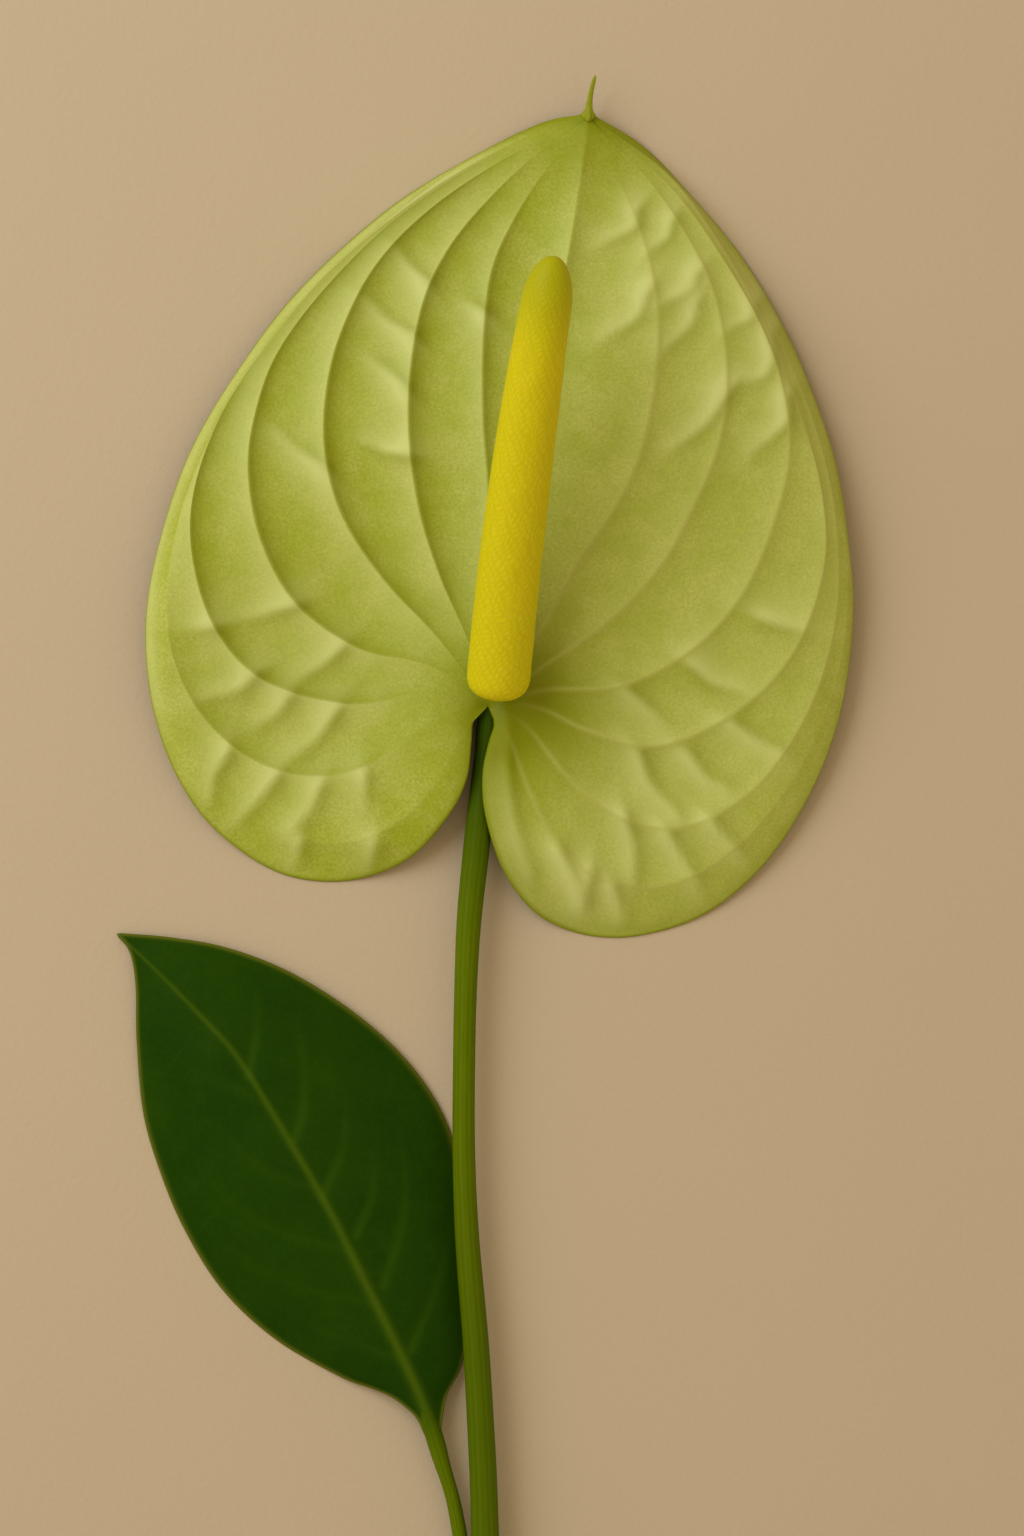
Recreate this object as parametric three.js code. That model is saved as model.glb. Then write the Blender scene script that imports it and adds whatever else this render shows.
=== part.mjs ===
// An anthurium cut as one shoot and laid on its back: a heart-shaped spathe with its spadix on a
// long flower stem, and one leaf on its stalk, both growing from a short cut piece of the plant's
// main stem. It rests on the rim of the spathe, the margins of the leaf and the cut stem piece.
//
// Millimetres, +Z up. The shoot lies along Y with the flower towards +Y and its face towards +Z.
// The lists of points are given from the node of the flower, where the flower stem, the spathe and
// the spadix meet. The finished group is moved so that its origin is at the middle of its
// footprint, on the surface that it lies on.

import * as THREE from "three";
import { LoftGeometry } from "three/addons/geometries/LoftGeometry.js";

// ---- Driving dimensions ---------------------------------------------------------------------

const FLOWER_SCALE = 1; // 1 gives a spathe 128 mm wide
const LEAF_SCALE = 1; // 1 gives a blade 105 mm long
const STALK_SCALE = 1; // 1 puts the cut piece of main stem 162 mm below the flower's node

const NODE_HEIGHT = 9; // of the spathe above the table, where it joins the flower stem
const SPATHE_THICKNESS = 0.9;
const SPATHE_RIM = 0.4; // thickness at the margin
const SPATHE_ARCH = 2.1; // how late the spathe falls away from its midrib to its margin
const SPATHE_LOBE_ARCH = 1.35; // and how late its two lobes fall away
const CUSP_LENGTH = 8.2; // the drip tip beyond the spathe's apex
const CUSP_WIDTH = 1.6;
const CUSP_CURL = 4; // how far the drip tip rises off the table
const CUSP_LEAN = 1.3; // how far its point swings towards +X

const SPADIX_LENGTH = 84;
const SPADIX_RADIUS = 5.7;
const SPADIX_TIP_RADIUS = 4.1; // just below the rounded tip
const SPADIX_TAPER = 2.5; // how late along its length it narrows
const SPADIX_RISE_DEG = 22; // away from the table
const SPADIX_LEAN_DEG = 5; // towards +X, where it leaves the node
const SPADIX_CURVE_DEG = 5; // how much further it leans by its tip
const SPADIX_OFFSET = [2, 1.2]; // its base from the node
const SPADIX_SEAT = 0.7; // how far its rounded base settles towards the spathe

const STEM_HEIGHT = 5.2; // the flower stem's axis above the table, along its low run
const STEM_FOOT_RADIUS = 2.55; // at the cut piece of main stem
const STEM_WAIST_RADIUS = 2.05; // where it is thinnest
const STEM_NECK_RADIUS = 2.4; // below the flower, where it swells
const STEM_END_RADIUS = 2.2; // under the flower

const PETIOLE_FOOT_RADIUS = 1.85;
const PETIOLE_RADIUS = 1.4;
const PETIOLE_KNEE_RADIUS = 1.7; // the swollen end under the blade

const LEAF_THICKNESS = 0.6;
const LEAF_RIM = 0.35;
const LEAF_CROWN = 7; // of the blade's midrib above the table, at its highest
const LEAF_ARCH = 1.6; // how late the blade falls away from its midrib to its margin
const LEAF_LEAN_DEG = 32.7; // towards -X, or more where the flower is nearer or the blade longer
const LEAF_CLEARANCE = 9.5; // left between the leaf's tip and the flower, along Y

const MAIN_STEM_LENGTH = 17;
const MAIN_STEM_SHOULDER = 0.45; // bare rim round the two stalks on its upper end
const MAIN_STEM_SWELL = 1.09; // its widest over its upper end
const MAIN_STEM_X = -1.9; // from the node of the flower
const STALK_PAIR_TILT_DEG = 32; // the flower stem stands this far above the leaf stalk there

const GAP = 0.35; // left between pieces that grow out of each other

// ---- The spathe's lines, from the node, in mm at FLOWER_SCALE 1 ------------------------------

// The midrib and the two margins are x, y and the height above the table when the node is 12 mm
// up. Where a margin's height is 0, it lies on the table.
const LISTED_NODE_HEIGHT = 12;
const MIDRIB = [
  [0, 0, 12], [1.4, 9, 13.4], [3.1, 19, 15.2], [5, 30, 16.5], [7, 40.5, 17], [9, 52, 16.6],
  [11.1, 63.9, 15.4], [13, 73, 13.6], [14.7, 81.8, 11.4], [15.9, 89.5, 9], [17.1, 98, 6.4],
  [18.1, 105.8, 4.9],
];
const LEFT_MARGIN = [
  [0, 0, 12], [-2.6, -2.6, 12.6], [-3.2, -7, 13.2], [-4, -13, 12.4], [-6.9, -19.1, 9.6],
  [-12.9, -26.2, 5], [-19.6, -30, 1.8], [-27.7, -31.6, 0], [-36.8, -30.4, 0],
  [-44.9, -26, 1.1], [-52.5, -18.8, 2.8], [-58.2, -8.4, 4.4], [-61.4, 3.9, 5.4],
  [-61.8, 17.5, 5.8], [-58.9, 31.9, 5.6], [-53.8, 46.4, 4.8], [-45.3, 60.9, 3.7],
  [-34.3, 75.4, 2.2], [-18.5, 89.9, 0], [-3.3, 99.5, 0], [9.4, 105.5, 2.2],
  [16.9, 107, 4.5],
];
const RIGHT_MARGIN = [
  [0, 0, 12], [1.2, -3, 12], [0.3, -6.4, 11.9], [-0.8, -12.1, 11.8], [-0.4, -19.1, 11.2],
  [2.1, -27.8, 8.2], [5.8, -34.2, 4.6], [10.8, -38.7, 1.7], [18.4, -41.4, 0],
  [27.5, -41.4, 0], [38.4, -38, 0.6], [47.8, -30.9, 2], [55.2, -21.3, 3.4],
  [61, -9.7, 4.6], [64.6, 3, 5.5], [66.1, 17.5, 5.8], [65.3, 29.2, 5.5], [63.4, 41.9, 4.9],
  [59.9, 53.7, 4], [53.8, 68.2, 2.6], [45.2, 82.6, 0.8], [34.7, 95, 0], [27.5, 101.8, 1.6],
  [19.6, 106.6, 4.5],
];
// Every other main vein on each side of the midrib, from the inner one out.
const LEFT_VEINS = [
  [[0, 0], [-3.6, 11.8], [-8.6, 23.5], [-12.2, 35.2], [-14, 47.8], [-13.8, 60.4],
    [-11.5, 73], [-6.8, 82.9], [0.4, 91.8], [9, 100], [17.7, 106]],
  [[0, 0], [-10.5, 7.4], [-23.1, 10.5], [-34.5, 18.6], [-40.8, 30], [-43.1, 42.6],
    [-41.7, 53.5], [-37.6, 64.3], [-28.5, 76.4], [-15.9, 88.6], [0.5, 99.5], [17.3, 106.4]],
  [[0, 0], [-10.5, -2.8], [-21.4, -10.3], [-32.2, -12.4], [-43.1, -9.2], [-52.1, -1],
    [-57.2, 10.2], [-57.8, 22.5], [-55, 36.5], [-48.4, 52], [-38, 67.6], [-24, 82.8],
    [-7, 96.6], [8, 104.2], [17.1, 106.7]],
];
const RIGHT_VEINS = [
  [[0, 0], [10.3, 7.4], [22, 15.5], [31.3, 25.4], [37.6, 37.1], [41.8, 47.9], [43.2, 60.5],
    [40.7, 74.9], [35.5, 85.7], [28.3, 96.1], [18.6, 106]],
  [[0, 0], [8.5, -0.1], [18.4, -4.6], [29.3, -7.4], [40.1, -3.9], [50.1, 3.3], [56.9, 12.9],
    [60.7, 25.6], [60.4, 37.3], [57.3, 50], [51, 67], [41.6, 84.2], [32, 96.8], [19.1, 106.4]],
  [[0, 0], [4, -6.2], [7.3, -15], [12.6, -25], [20.4, -31.2], [31.4, -32.6], [42.2, -27.6],
    [51.6, -18.2], [59.2, -5.7], [63.8, 8.6], [65, 23], [63.6, 36.6], [59.8, 51.4],
    [53, 68], [44.4, 82.5], [34.2, 94.9], [19.5, 106.6]],
];

// ---- The leaf's lines, from the blade's base to its tip, in mm at LEAF_SCALE 1 ---------------

// They are those of a blade that leans by 32.7 degrees and whose crown is 7 mm up.
const LISTED_LEAF_CROWN = 7;
const LISTED_LEAF_LEAN_DEG = 32.7;
const LEAF_MIDRIB = [
  [0, 0, 4], [-1.9, 5.5, 4.6], [-6.5, 15.4, 5.9], [-11.9, 26.3, 6.7], [-18.2, 39, 7],
  [-25.5, 51.6, 6.8], [-34.5, 66.1, 5.8], [-40.8, 73.3, 4.8], [-50.8, 83.3, 2.8],
  [-57, 88.9, 0.6],
];
const LEAF_LEFT = [
  [0, 0, 4], [-2.2, 0.8, 3.6], [-3.4, 2, 3.3], [-6.9, 5, 2.5], [-11, 6.7, 1.6],
  [-16.4, 8.7, 0.7], [-27.9, 15.3, 0],
  [-37.6, 24.3, 0], [-44.7, 35.6, 0], [-49.4, 47, 0], [-52.1, 57, 0.4], [-53.2, 69.7, 1],
  [-53.4, 79.6, 1.3], [-54.5, 85.6, 1.1], [-57, 88.9, 0.6],
];
const LEAF_RIGHT = [
  [0, 0, 4], [2.1, 1.9, 3.7], [2.4, 4, 3.4], [3.1, 6.1, 3], [5.4, 10.5, 2.1],
  [6.7, 17.1, 1.1], [6.9, 28, 0.5],
  [6, 40.7, 0.4], [3.8, 51.5, 0.5], [-0.1, 59.9, 0.8], [-6.5, 68, 1.1], [-15.5, 75.6, 1.3],
  [-26.4, 82.2, 1.4], [-37.3, 86.3, 1.4], [-47.3, 88.1, 1.1], [-57, 88.9, 0.6],
];
const LEAF_BASE = [-10.4, -130.1, 4]; // from the node of the flower

// ---- Where the stalks start and end ----------------------------------------------------------

const MAIN_STEM_TOP_RADIUS =
  STEM_FOOT_RADIUS + PETIOLE_FOOT_RADIUS + GAP / 2 + MAIN_STEM_SHOULDER;
const MAIN_STEM_RADIUS = MAIN_STEM_TOP_RADIUS * MAIN_STEM_SWELL; // its widest, on the table
const STALKS_START = -161.6; // from the node of the flower, along Y
const FOOT_LENGTH = 3; // how far each stalk runs straight from the main stem
const STEM_END_HEIGHT = NODE_HEIGHT - SPATHE_THICKNESS / 2 - GAP - STEM_END_RADIUS;

// The first two points of a stalk, which leaves the main stem's upper end square to it. The two
// stalks stand either side of that end's centre, one gap apart.
function foot(distance) {
  const tilt = THREE.MathUtils.degToRad(STALK_PAIR_TILT_DEG);
  const x = MAIN_STEM_X + distance * Math.cos(tilt);
  const height = MAIN_STEM_RADIUS + distance * Math.sin(tilt);
  return [[x, STALKS_START, height], [x, STALKS_START + FOOT_LENGTH, height]];
}

// The flower stem's height where it climbs from its low run to the flower.
function climbing(share) {
  return THREE.MathUtils.lerp(STEM_HEIGHT, STEM_END_HEIGHT, share);
}

const FLOWER_STEM_ROUTE = [
  ...foot(PETIOLE_FOOT_RADIUS + GAP / 2), [-0.6, -148, climbing(0.1)],
  [-1.1, -134.4, STEM_HEIGHT], [-2, -118.1, STEM_HEIGHT], [-3.6, -98.3, STEM_HEIGHT],
  [-4.4, -80.2, STEM_HEIGHT], [-4.3, -63.9, STEM_HEIGHT], [-3.7, -42.2, STEM_HEIGHT],
  [-2.1, -26, climbing(0.05)], [-0.6, -12, climbing(0.3)], [0, -5.2, climbing(0.66)],
  [0.3, -1, climbing(1)],
];
const PETIOLE_ROUTE = [
  ...foot(-STEM_FOOT_RADIUS - GAP / 2), [-4.9, -151, 3.4], [-6.4, -143.6, 3], [-8.4, -136.6, 3.2],
  [LEAF_BASE[0] + 0.1, LEAF_BASE[1] - GAP, LEAF_BASE[2] - 0.1],
];

// ---- Mesh steps ------------------------------------------------------------------------------

const SPATHE_ROWS = 34; // from the node to the apex
const STEPS_BETWEEN_VEINS = 4;
const CUSP_ROWS = 4;
const LEAF_ROWS = 26;
const LEAF_STEPS = 6; // from the midrib to each margin
const STALK_SIDES = 10;
const FLOWER_STEM_ROWS = 40;
const PETIOLE_ROWS = 14;
const SPADIX_STEPS = 8; // between its rounded ends
const SPADIX_SIDES = 20;
const MAIN_STEM_SIDES = 24;

// ---- Curves ----------------------------------------------------------------------------------

// A smooth curve through points. A point with no height gets none.
function curveThrough(points, scale = 1, heightScale = 1) {
  const vectors = points.map(
    ([x, y, height = 0]) => new THREE.Vector3(x * scale, y * scale, height * heightScale),
  );
  return new THREE.CatmullRomCurve3(vectors, false, "catmullrom", 0.5);
}

// Stretches a stalk's route along Y, so that a longer stalk keeps its bends.
function alongStalk(points) {
  return points.map(([x, y, height]) => [x, y * STALK_SCALE, height]);
}

// Catmull-Rom through evenly spaced rows of points, at a place from 0 to 1.
function acrossRow(row, place) {
  return new THREE.CatmullRomCurve3(row, false, "catmullrom", 0.5).getPoint(place);
}

// ---- Sheets ----------------------------------------------------------------------------------

// Turns rows of points on a sheet's middle surface into sections for a loft: the face above it and
// the back below it. Thickness eases from the whole sheet's to the rim's at both margins, and a
// sheet that would dip below the table lies on it.
function sheetSections(rows, thickness, rim) {
  return rows.map((row) => {
    const last = row.length - 1;
    const halves = row.map((_point, i) => {
      const fromMiddle = Math.abs((2 * i) / last - 1);
      return THREE.MathUtils.lerp(thickness, rim, fromMiddle ** 6) / 2;
    });
    const offset = (side) =>
      row.map((point, i) => {
        const resting = Math.max(point.z, halves[i]);
        return point.clone().setZ(resting + side * halves[i]);
      });
    return [...offset(1), ...offset(-1).reverse()];
  });
}

// Draws a section together into one point.
function closeToPoint(section) {
  const centre = new THREE.Vector3();
  section.forEach((point) => centre.addScaledVector(point, 1 / section.length));
  section.forEach((point) => point.copy(centre));
}

// ---- Tubes -----------------------------------------------------------------------------------

// A ring of points square to a path that never runs straight up.
function ringOn(path, place, radius, sides) {
  const centre = path.getPointAt(place);
  const along = path.getTangentAt(place);
  const sideways = new THREE.Vector3(0, 0, 1).cross(along).normalize();
  const upward = new THREE.Vector3().crossVectors(along, sideways);
  return Array.from({ length: sides }, (_, i) => {
    const turn = (i / sides) * Math.PI * 2;
    return centre
      .clone()
      .addScaledVector(sideways, radius * Math.cos(turn))
      .addScaledVector(upward, radius * Math.sin(turn));
  });
}

// A stalk with flat ends whose radius changes smoothly through evenly spaced values.
function stalk(points, radii, rows) {
  const path = curveThrough(points);
  const girth = new THREE.SplineCurve(
    radii.map((radius, i) => new THREE.Vector2(i / (radii.length - 1), radius)),
  );
  const sections = Array.from({ length: rows + 1 }, (_, i) =>
    ringOn(path, i / rows, girth.getPoint(i / rows).y, STALK_SIDES),
  );
  return new LoftGeometry(sections, { capStart: true, capEnd: true });
}

// ---- The spathe ------------------------------------------------------------------------------

// The curves that the spathe is lofted through, from the left margin to the right margin. A vein's
// height lies between the midrib's and its margin's, by how far out it is.
function spatheCurves() {
  const heightScale = NODE_HEIGHT / LISTED_NODE_HEIGHT;
  const midrib = curveThrough(MIDRIB, FLOWER_SCALE, heightScale);
  const side = (veins, marginPoints) => {
    const margin = curveThrough(marginPoints, FLOWER_SCALE, heightScale);
    const curves = veins.map((points, i) => {
      const flat = curveThrough(points, FLOWER_SCALE);
      const share = (i + 1) / (veins.length + 1);
      return (place) => {
        const late = THREE.MathUtils.smoothstep(place, 0.25, 0.6);
        const outward = share ** THREE.MathUtils.lerp(SPATHE_LOBE_ARCH, SPATHE_ARCH, late);
        const inner = midrib.getPointAt(place).z;
        const outer = margin.getPointAt(place).z;
        return flat.getPointAt(place).setZ(THREE.MathUtils.lerp(inner, outer, outward));
      };
    });
    return [...curves, (place) => margin.getPointAt(place)];
  };
  const left = side(LEFT_VEINS, LEFT_MARGIN).reverse();
  const right = side(RIGHT_VEINS, RIGHT_MARGIN);
  return [...left, (place) => midrib.getPointAt(place), ...right];
}

// The drip tip: it carries on from the apex, narrows to a point and curls up off the table.
function cuspRows(apex) {
  const columns = apex.length - 1;
  const middle = apex[columns / 2];
  return Array.from({ length: CUSP_ROWS }, (_, i) => {
    const place = (i + 1) / CUSP_ROWS;
    const width = CUSP_WIDTH * (1 - place) ** 1.3;
    return apex.map((_point, j) => {
      const sideways = (j / columns - 0.5) * width;
      return new THREE.Vector3(
        middle.x + sideways + CUSP_LEAN * place ** 2,
        middle.y + CUSP_LENGTH * place,
        middle.z + CUSP_CURL * place ** 1.6,
      );
    });
  });
}

function spathe() {
  const curves = spatheCurves();
  const columns = (curves.length - 1) * STEPS_BETWEEN_VEINS;
  const rows = Array.from({ length: SPATHE_ROWS + 1 }, (_, i) => {
    const onVeins = curves.map((curve) => curve(i / SPATHE_ROWS));
    return Array.from({ length: columns + 1 }, (_unused, j) => acrossRow(onVeins, j / columns));
  });
  const withCusp = [...rows, ...cuspRows(rows[SPATHE_ROWS])];
  const sections = sheetSections(withCusp, SPATHE_THICKNESS, SPATHE_RIM);
  closeToPoint(sections[sections.length - 1]);
  return new LoftGeometry(sections);
}

// ---- The spadix ------------------------------------------------------------------------------

// Distances along the spadix, closer together where its ends are rounded.
function spadixSteps(baseRound, tipRound) {
  const straight = SPADIX_LENGTH - baseRound - tipRound;
  const rounding = [0, 0.12, 0.3, 0.5, 0.75, 1];
  const fromBase = rounding.map((share) => share * baseRound);
  const between = Array.from(
    { length: SPADIX_STEPS - 1 },
    (_, i) => baseRound + (straight * (i + 1)) / SPADIX_STEPS,
  );
  const toTip = rounding.map((share) => SPADIX_LENGTH - share * tipRound).reverse();
  return [...fromBase, ...between, ...toTip];
}

function spadix() {
  const rise = THREE.MathUtils.degToRad(SPADIX_RISE_DEG);
  const heading = (degrees) => {
    const angle = THREE.MathUtils.degToRad(degrees);
    const flat = new THREE.Vector3(Math.sin(angle), Math.cos(angle), 0);
    return flat.multiplyScalar(Math.cos(rise)).setZ(Math.sin(rise));
  };
  const underside = NODE_HEIGHT + SPATHE_THICKNESS / 2 + GAP;
  const height = underside + SPADIX_RADIUS * Math.cos(rise) - SPADIX_SEAT;
  const start = new THREE.Vector3(...SPADIX_OFFSET, height);
  const bend = start.clone().addScaledVector(heading(SPADIX_LEAN_DEG), SPADIX_LENGTH / 2);
  const end = bend
    .clone()
    .addScaledVector(heading(SPADIX_LEAN_DEG + SPADIX_CURVE_DEG), SPADIX_LENGTH / 2);
  const axis = new THREE.QuadraticBezierCurve3(start, bend, end);

  const baseRound = SPADIX_RADIUS * 0.8;
  const tipRound = SPADIX_TIP_RADIUS * 2;
  const rounded = (share) => Math.sqrt(Math.max(0, 1 - (1 - Math.min(1, share)) ** 2));
  const radiusAt = (distance) => {
    const taper = (distance / SPADIX_LENGTH) ** SPADIX_TAPER;
    const body = THREE.MathUtils.lerp(SPADIX_RADIUS, SPADIX_TIP_RADIUS, taper);
    return (
      body * rounded(distance / baseRound) * rounded((SPADIX_LENGTH - distance) / tipRound)
    );
  };
  const sections = spadixSteps(baseRound, tipRound).map((distance) =>
    ringOn(axis, distance / SPADIX_LENGTH, radiusAt(distance), SPADIX_SIDES),
  );
  return new LoftGeometry(sections);
}

// ---- The leaf --------------------------------------------------------------------------------

// How far the blade leans, in radians: enough for its tip to stay clear of the flower's left lobe.
function leafLean() {
  const lobeEnd = Math.min(...LEFT_MARGIN.map(([, y]) => y)) * FLOWER_SCALE;
  const room = lobeEnd - LEAF_CLEARANCE - LEAF_BASE[1] * STALK_SCALE;
  const tip = LEAF_MIDRIB[LEAF_MIDRIB.length - 1];
  const bladeLength = Math.hypot(tip[0], tip[1]) * LEAF_SCALE;
  const lean = THREE.MathUtils.degToRad(LEAF_LEAN_DEG);
  return Math.max(lean, Math.acos(Math.min(1, room / bladeLength)));
}

function leafBlade() {
  const [midrib, left, right] = [LEAF_MIDRIB, LEAF_LEFT, LEAF_RIGHT].map((points) =>
    curveThrough(points, LEAF_SCALE, LEAF_CROWN / LISTED_LEAF_CROWN),
  );
  const base = new THREE.Vector3(LEAF_BASE[0], LEAF_BASE[1] * STALK_SCALE, 0);
  const turn = leafLean() - THREE.MathUtils.degToRad(LISTED_LEAF_LEAN_DEG);
  const upward = new THREE.Vector3(0, 0, 1);
  const rows = Array.from({ length: LEAF_ROWS + 1 }, (_, i) => {
    const place = i / LEAF_ROWS;
    const middle = midrib.getPointAt(place);
    return Array.from({ length: 2 * LEAF_STEPS + 1 }, (_unused, j) => {
      const outward = Math.abs(j / LEAF_STEPS - 1);
      const margin = (j < LEAF_STEPS ? left : right).getPointAt(place);
      const height = THREE.MathUtils.lerp(middle.z, margin.z, outward ** LEAF_ARCH);
      const point = middle.clone().lerp(margin, outward).setZ(height);
      return point.applyAxisAngle(upward, turn).add(base);
    });
  });
  const sections = sheetSections(rows, LEAF_THICKNESS, LEAF_RIM);
  closeToPoint(sections[0]);
  closeToPoint(sections[LEAF_ROWS]);
  return new LoftGeometry(sections);
}

// ---- The stalks and the cut piece of main stem -----------------------------------------------

function flowerStem() {
  const radii = [
    STEM_FOOT_RADIUS, STEM_FOOT_RADIUS * 0.97, STEM_FOOT_RADIUS * 0.9, STEM_WAIST_RADIUS,
    STEM_WAIST_RADIUS, STEM_NECK_RADIUS, STEM_END_RADIUS,
  ];
  return stalk(alongStalk(FLOWER_STEM_ROUTE), radii, FLOWER_STEM_ROWS);
}

function leafStalk() {
  const radii = [PETIOLE_FOOT_RADIUS, PETIOLE_RADIUS, PETIOLE_RADIUS, PETIOLE_KNEE_RADIUS];
  return stalk(alongStalk(PETIOLE_ROUTE), radii, PETIOLE_ROWS);
}

// A short piece with a flat cut at its lower end and two ring scars, lying on the table. Its shape
// is shares of its radius and length, from the cut.
function mainStem() {
  const shape = [
    [0.94, 0], [0.98, 0.04], [0.95, 0.3], [0.93, 0.34], [0.96, 0.38], [1, 0.62], [0.96, 0.68],
    [0.98, 0.74], [0.98, 0.92],
  ];
  const wall = shape.map(
    ([radius, along]) =>
      new THREE.Vector2(radius * MAIN_STEM_RADIUS, along * MAIN_STEM_LENGTH),
  );
  const profile = [
    new THREE.Vector2(0, 0),
    ...wall,
    new THREE.Vector2(MAIN_STEM_TOP_RADIUS, MAIN_STEM_LENGTH),
    new THREE.Vector2(0, MAIN_STEM_LENGTH),
  ];
  return new THREE.LatheGeometry(profile, MAIN_STEM_SIDES);
}

// ---- The shoot -------------------------------------------------------------------------------

function named(name, geometry, colour, roughness) {
  const material = new THREE.MeshStandardMaterial({ color: colour, roughness, metalness: 0 });
  const mesh = new THREE.Mesh(geometry, material);
  mesh.name = name;
  return mesh;
}

const shoot = new THREE.Group();
shoot.add(named("spathe", spathe(), 0xa6a93a, 0.42));
shoot.add(named("spadix", spadix(), 0xd2bb16, 0.55));
shoot.add(named("flower_stem", flowerStem(), 0x5a6a0e, 0.4));
shoot.add(named("leaf_blade", leafBlade(), 0x254009, 0.38));
shoot.add(named("leaf_stalk", leafStalk(), 0x4e6a10, 0.42));

const cutPiece = named("main_stem", mainStem(), 0x6b6a2c, 0.65);
cutPiece.position.set(
  MAIN_STEM_X,
  STALKS_START * STALK_SCALE - GAP - MAIN_STEM_LENGTH,
  MAIN_STEM_RADIUS,
);
shoot.add(cutPiece);

// Moves the shoot so that its origin is at the middle of its footprint, on the table.
shoot.updateMatrixWorld(true);
const box = new THREE.Box3().setFromObject(shoot, true);
const middle = box.getCenter(new THREE.Vector3());
shoot.position.set(-middle.x, -middle.y, -box.min.z);

export default shoot;
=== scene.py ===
"""An anthurium cut as one shoot and laid on its back, built as an add-on that runs as a script.

Lengths in the lists are millimetres from the flower's node, where the spathe, the spadix and the
flower stem meet: +Y towards the flower's tip, +Z up from the table.
"""

import math

import bmesh
import bpy
import numpy as np
from bpy.props import FloatProperty, FloatVectorProperty, PointerProperty
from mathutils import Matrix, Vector


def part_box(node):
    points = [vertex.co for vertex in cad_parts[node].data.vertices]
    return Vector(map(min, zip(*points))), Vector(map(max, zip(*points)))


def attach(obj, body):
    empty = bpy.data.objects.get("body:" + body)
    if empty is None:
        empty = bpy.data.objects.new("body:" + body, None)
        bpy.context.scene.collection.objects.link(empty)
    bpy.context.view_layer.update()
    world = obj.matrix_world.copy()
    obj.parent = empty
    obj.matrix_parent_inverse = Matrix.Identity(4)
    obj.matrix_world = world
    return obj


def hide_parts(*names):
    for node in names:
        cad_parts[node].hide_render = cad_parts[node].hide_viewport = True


bl_info = {
    "name": "Cut Anthurium",
    "version": (1, 0, 0),
    "blender": (4, 5, 0),
    "location": "3D View > Sidebar > Anthurium",
    "description": "Builds a cut anthurium: spathe, spadix, leaf and stalks, and its studio stage",
    "category": "Add Mesh",
}

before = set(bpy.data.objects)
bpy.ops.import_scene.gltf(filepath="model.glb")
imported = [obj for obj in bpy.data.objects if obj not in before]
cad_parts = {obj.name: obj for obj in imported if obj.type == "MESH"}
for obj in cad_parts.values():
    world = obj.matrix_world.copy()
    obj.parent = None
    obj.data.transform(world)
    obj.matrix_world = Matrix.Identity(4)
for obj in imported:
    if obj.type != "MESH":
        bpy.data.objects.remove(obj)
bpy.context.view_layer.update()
RNG_SEED = 7
MM = 1000  # in a metre

# ---- The spathe's lines ------------------------------------------------------------------------

# Heights are listed for a node 12 mm above the floor.
NODE_HEIGHT = 9
LISTED_NODE_HEIGHT = 12
MIDRIB = [
    [0, 0, 12], [1.4, 9, 13.4], [3.1, 19, 15.2], [5, 30, 16.5], [7, 40.5, 17], [9, 52, 16.6],
    [11.1, 63.9, 15.4], [13, 73, 13.6], [14.7, 81.8, 11.4], [15.9, 89.5, 9], [17.1, 98, 6.4],
    [18.1, 105.8, 4.9],
]
LEFT_MARGIN = [
    [0, 0, 12], [-2.6, -2.6, 12.6], [-3.2, -7, 13.2], [-4, -13, 12.4], [-6.9, -19.1, 9.6],
    [-12.9, -26.2, 5], [-19.6, -30, 1.8], [-27.7, -31.6, 0], [-36.8, -30.4, 0],
    [-44.9, -26, 1.1], [-52.5, -18.8, 2.8], [-58.2, -8.4, 4.4], [-61.4, 3.9, 5.4],
    [-61.8, 17.5, 5.8], [-58.9, 31.9, 5.6], [-53.8, 46.4, 4.8], [-45.3, 60.9, 3.7],
    [-34.3, 75.4, 2.2], [-18.5, 89.9, 0], [-3.3, 99.5, 0], [9.4, 105.5, 2.2],
    [16.9, 107, 4.5],
]
RIGHT_MARGIN = [
    [0, 0, 12], [1.2, -3, 12], [0.3, -6.4, 11.9], [-0.8, -12.1, 11.8], [-0.4, -19.1, 11.2],
    [2.1, -27.8, 8.2], [5.8, -34.2, 4.6], [10.8, -38.7, 1.7], [18.4, -41.4, 0],
    [27.5, -41.4, 0], [38.4, -38, 0.6], [47.8, -30.9, 2], [55.2, -21.3, 3.4],
    [61, -9.7, 4.6], [64.6, 3, 5.5], [66.1, 17.5, 5.8], [65.3, 29.2, 5.5], [63.4, 41.9, 4.9],
    [59.9, 53.7, 4], [53.8, 68.2, 2.6], [45.2, 82.6, 0.8], [34.7, 95, 0], [27.5, 101.8, 1.6],
    [19.6, 106.6, 4.5],
]
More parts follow.
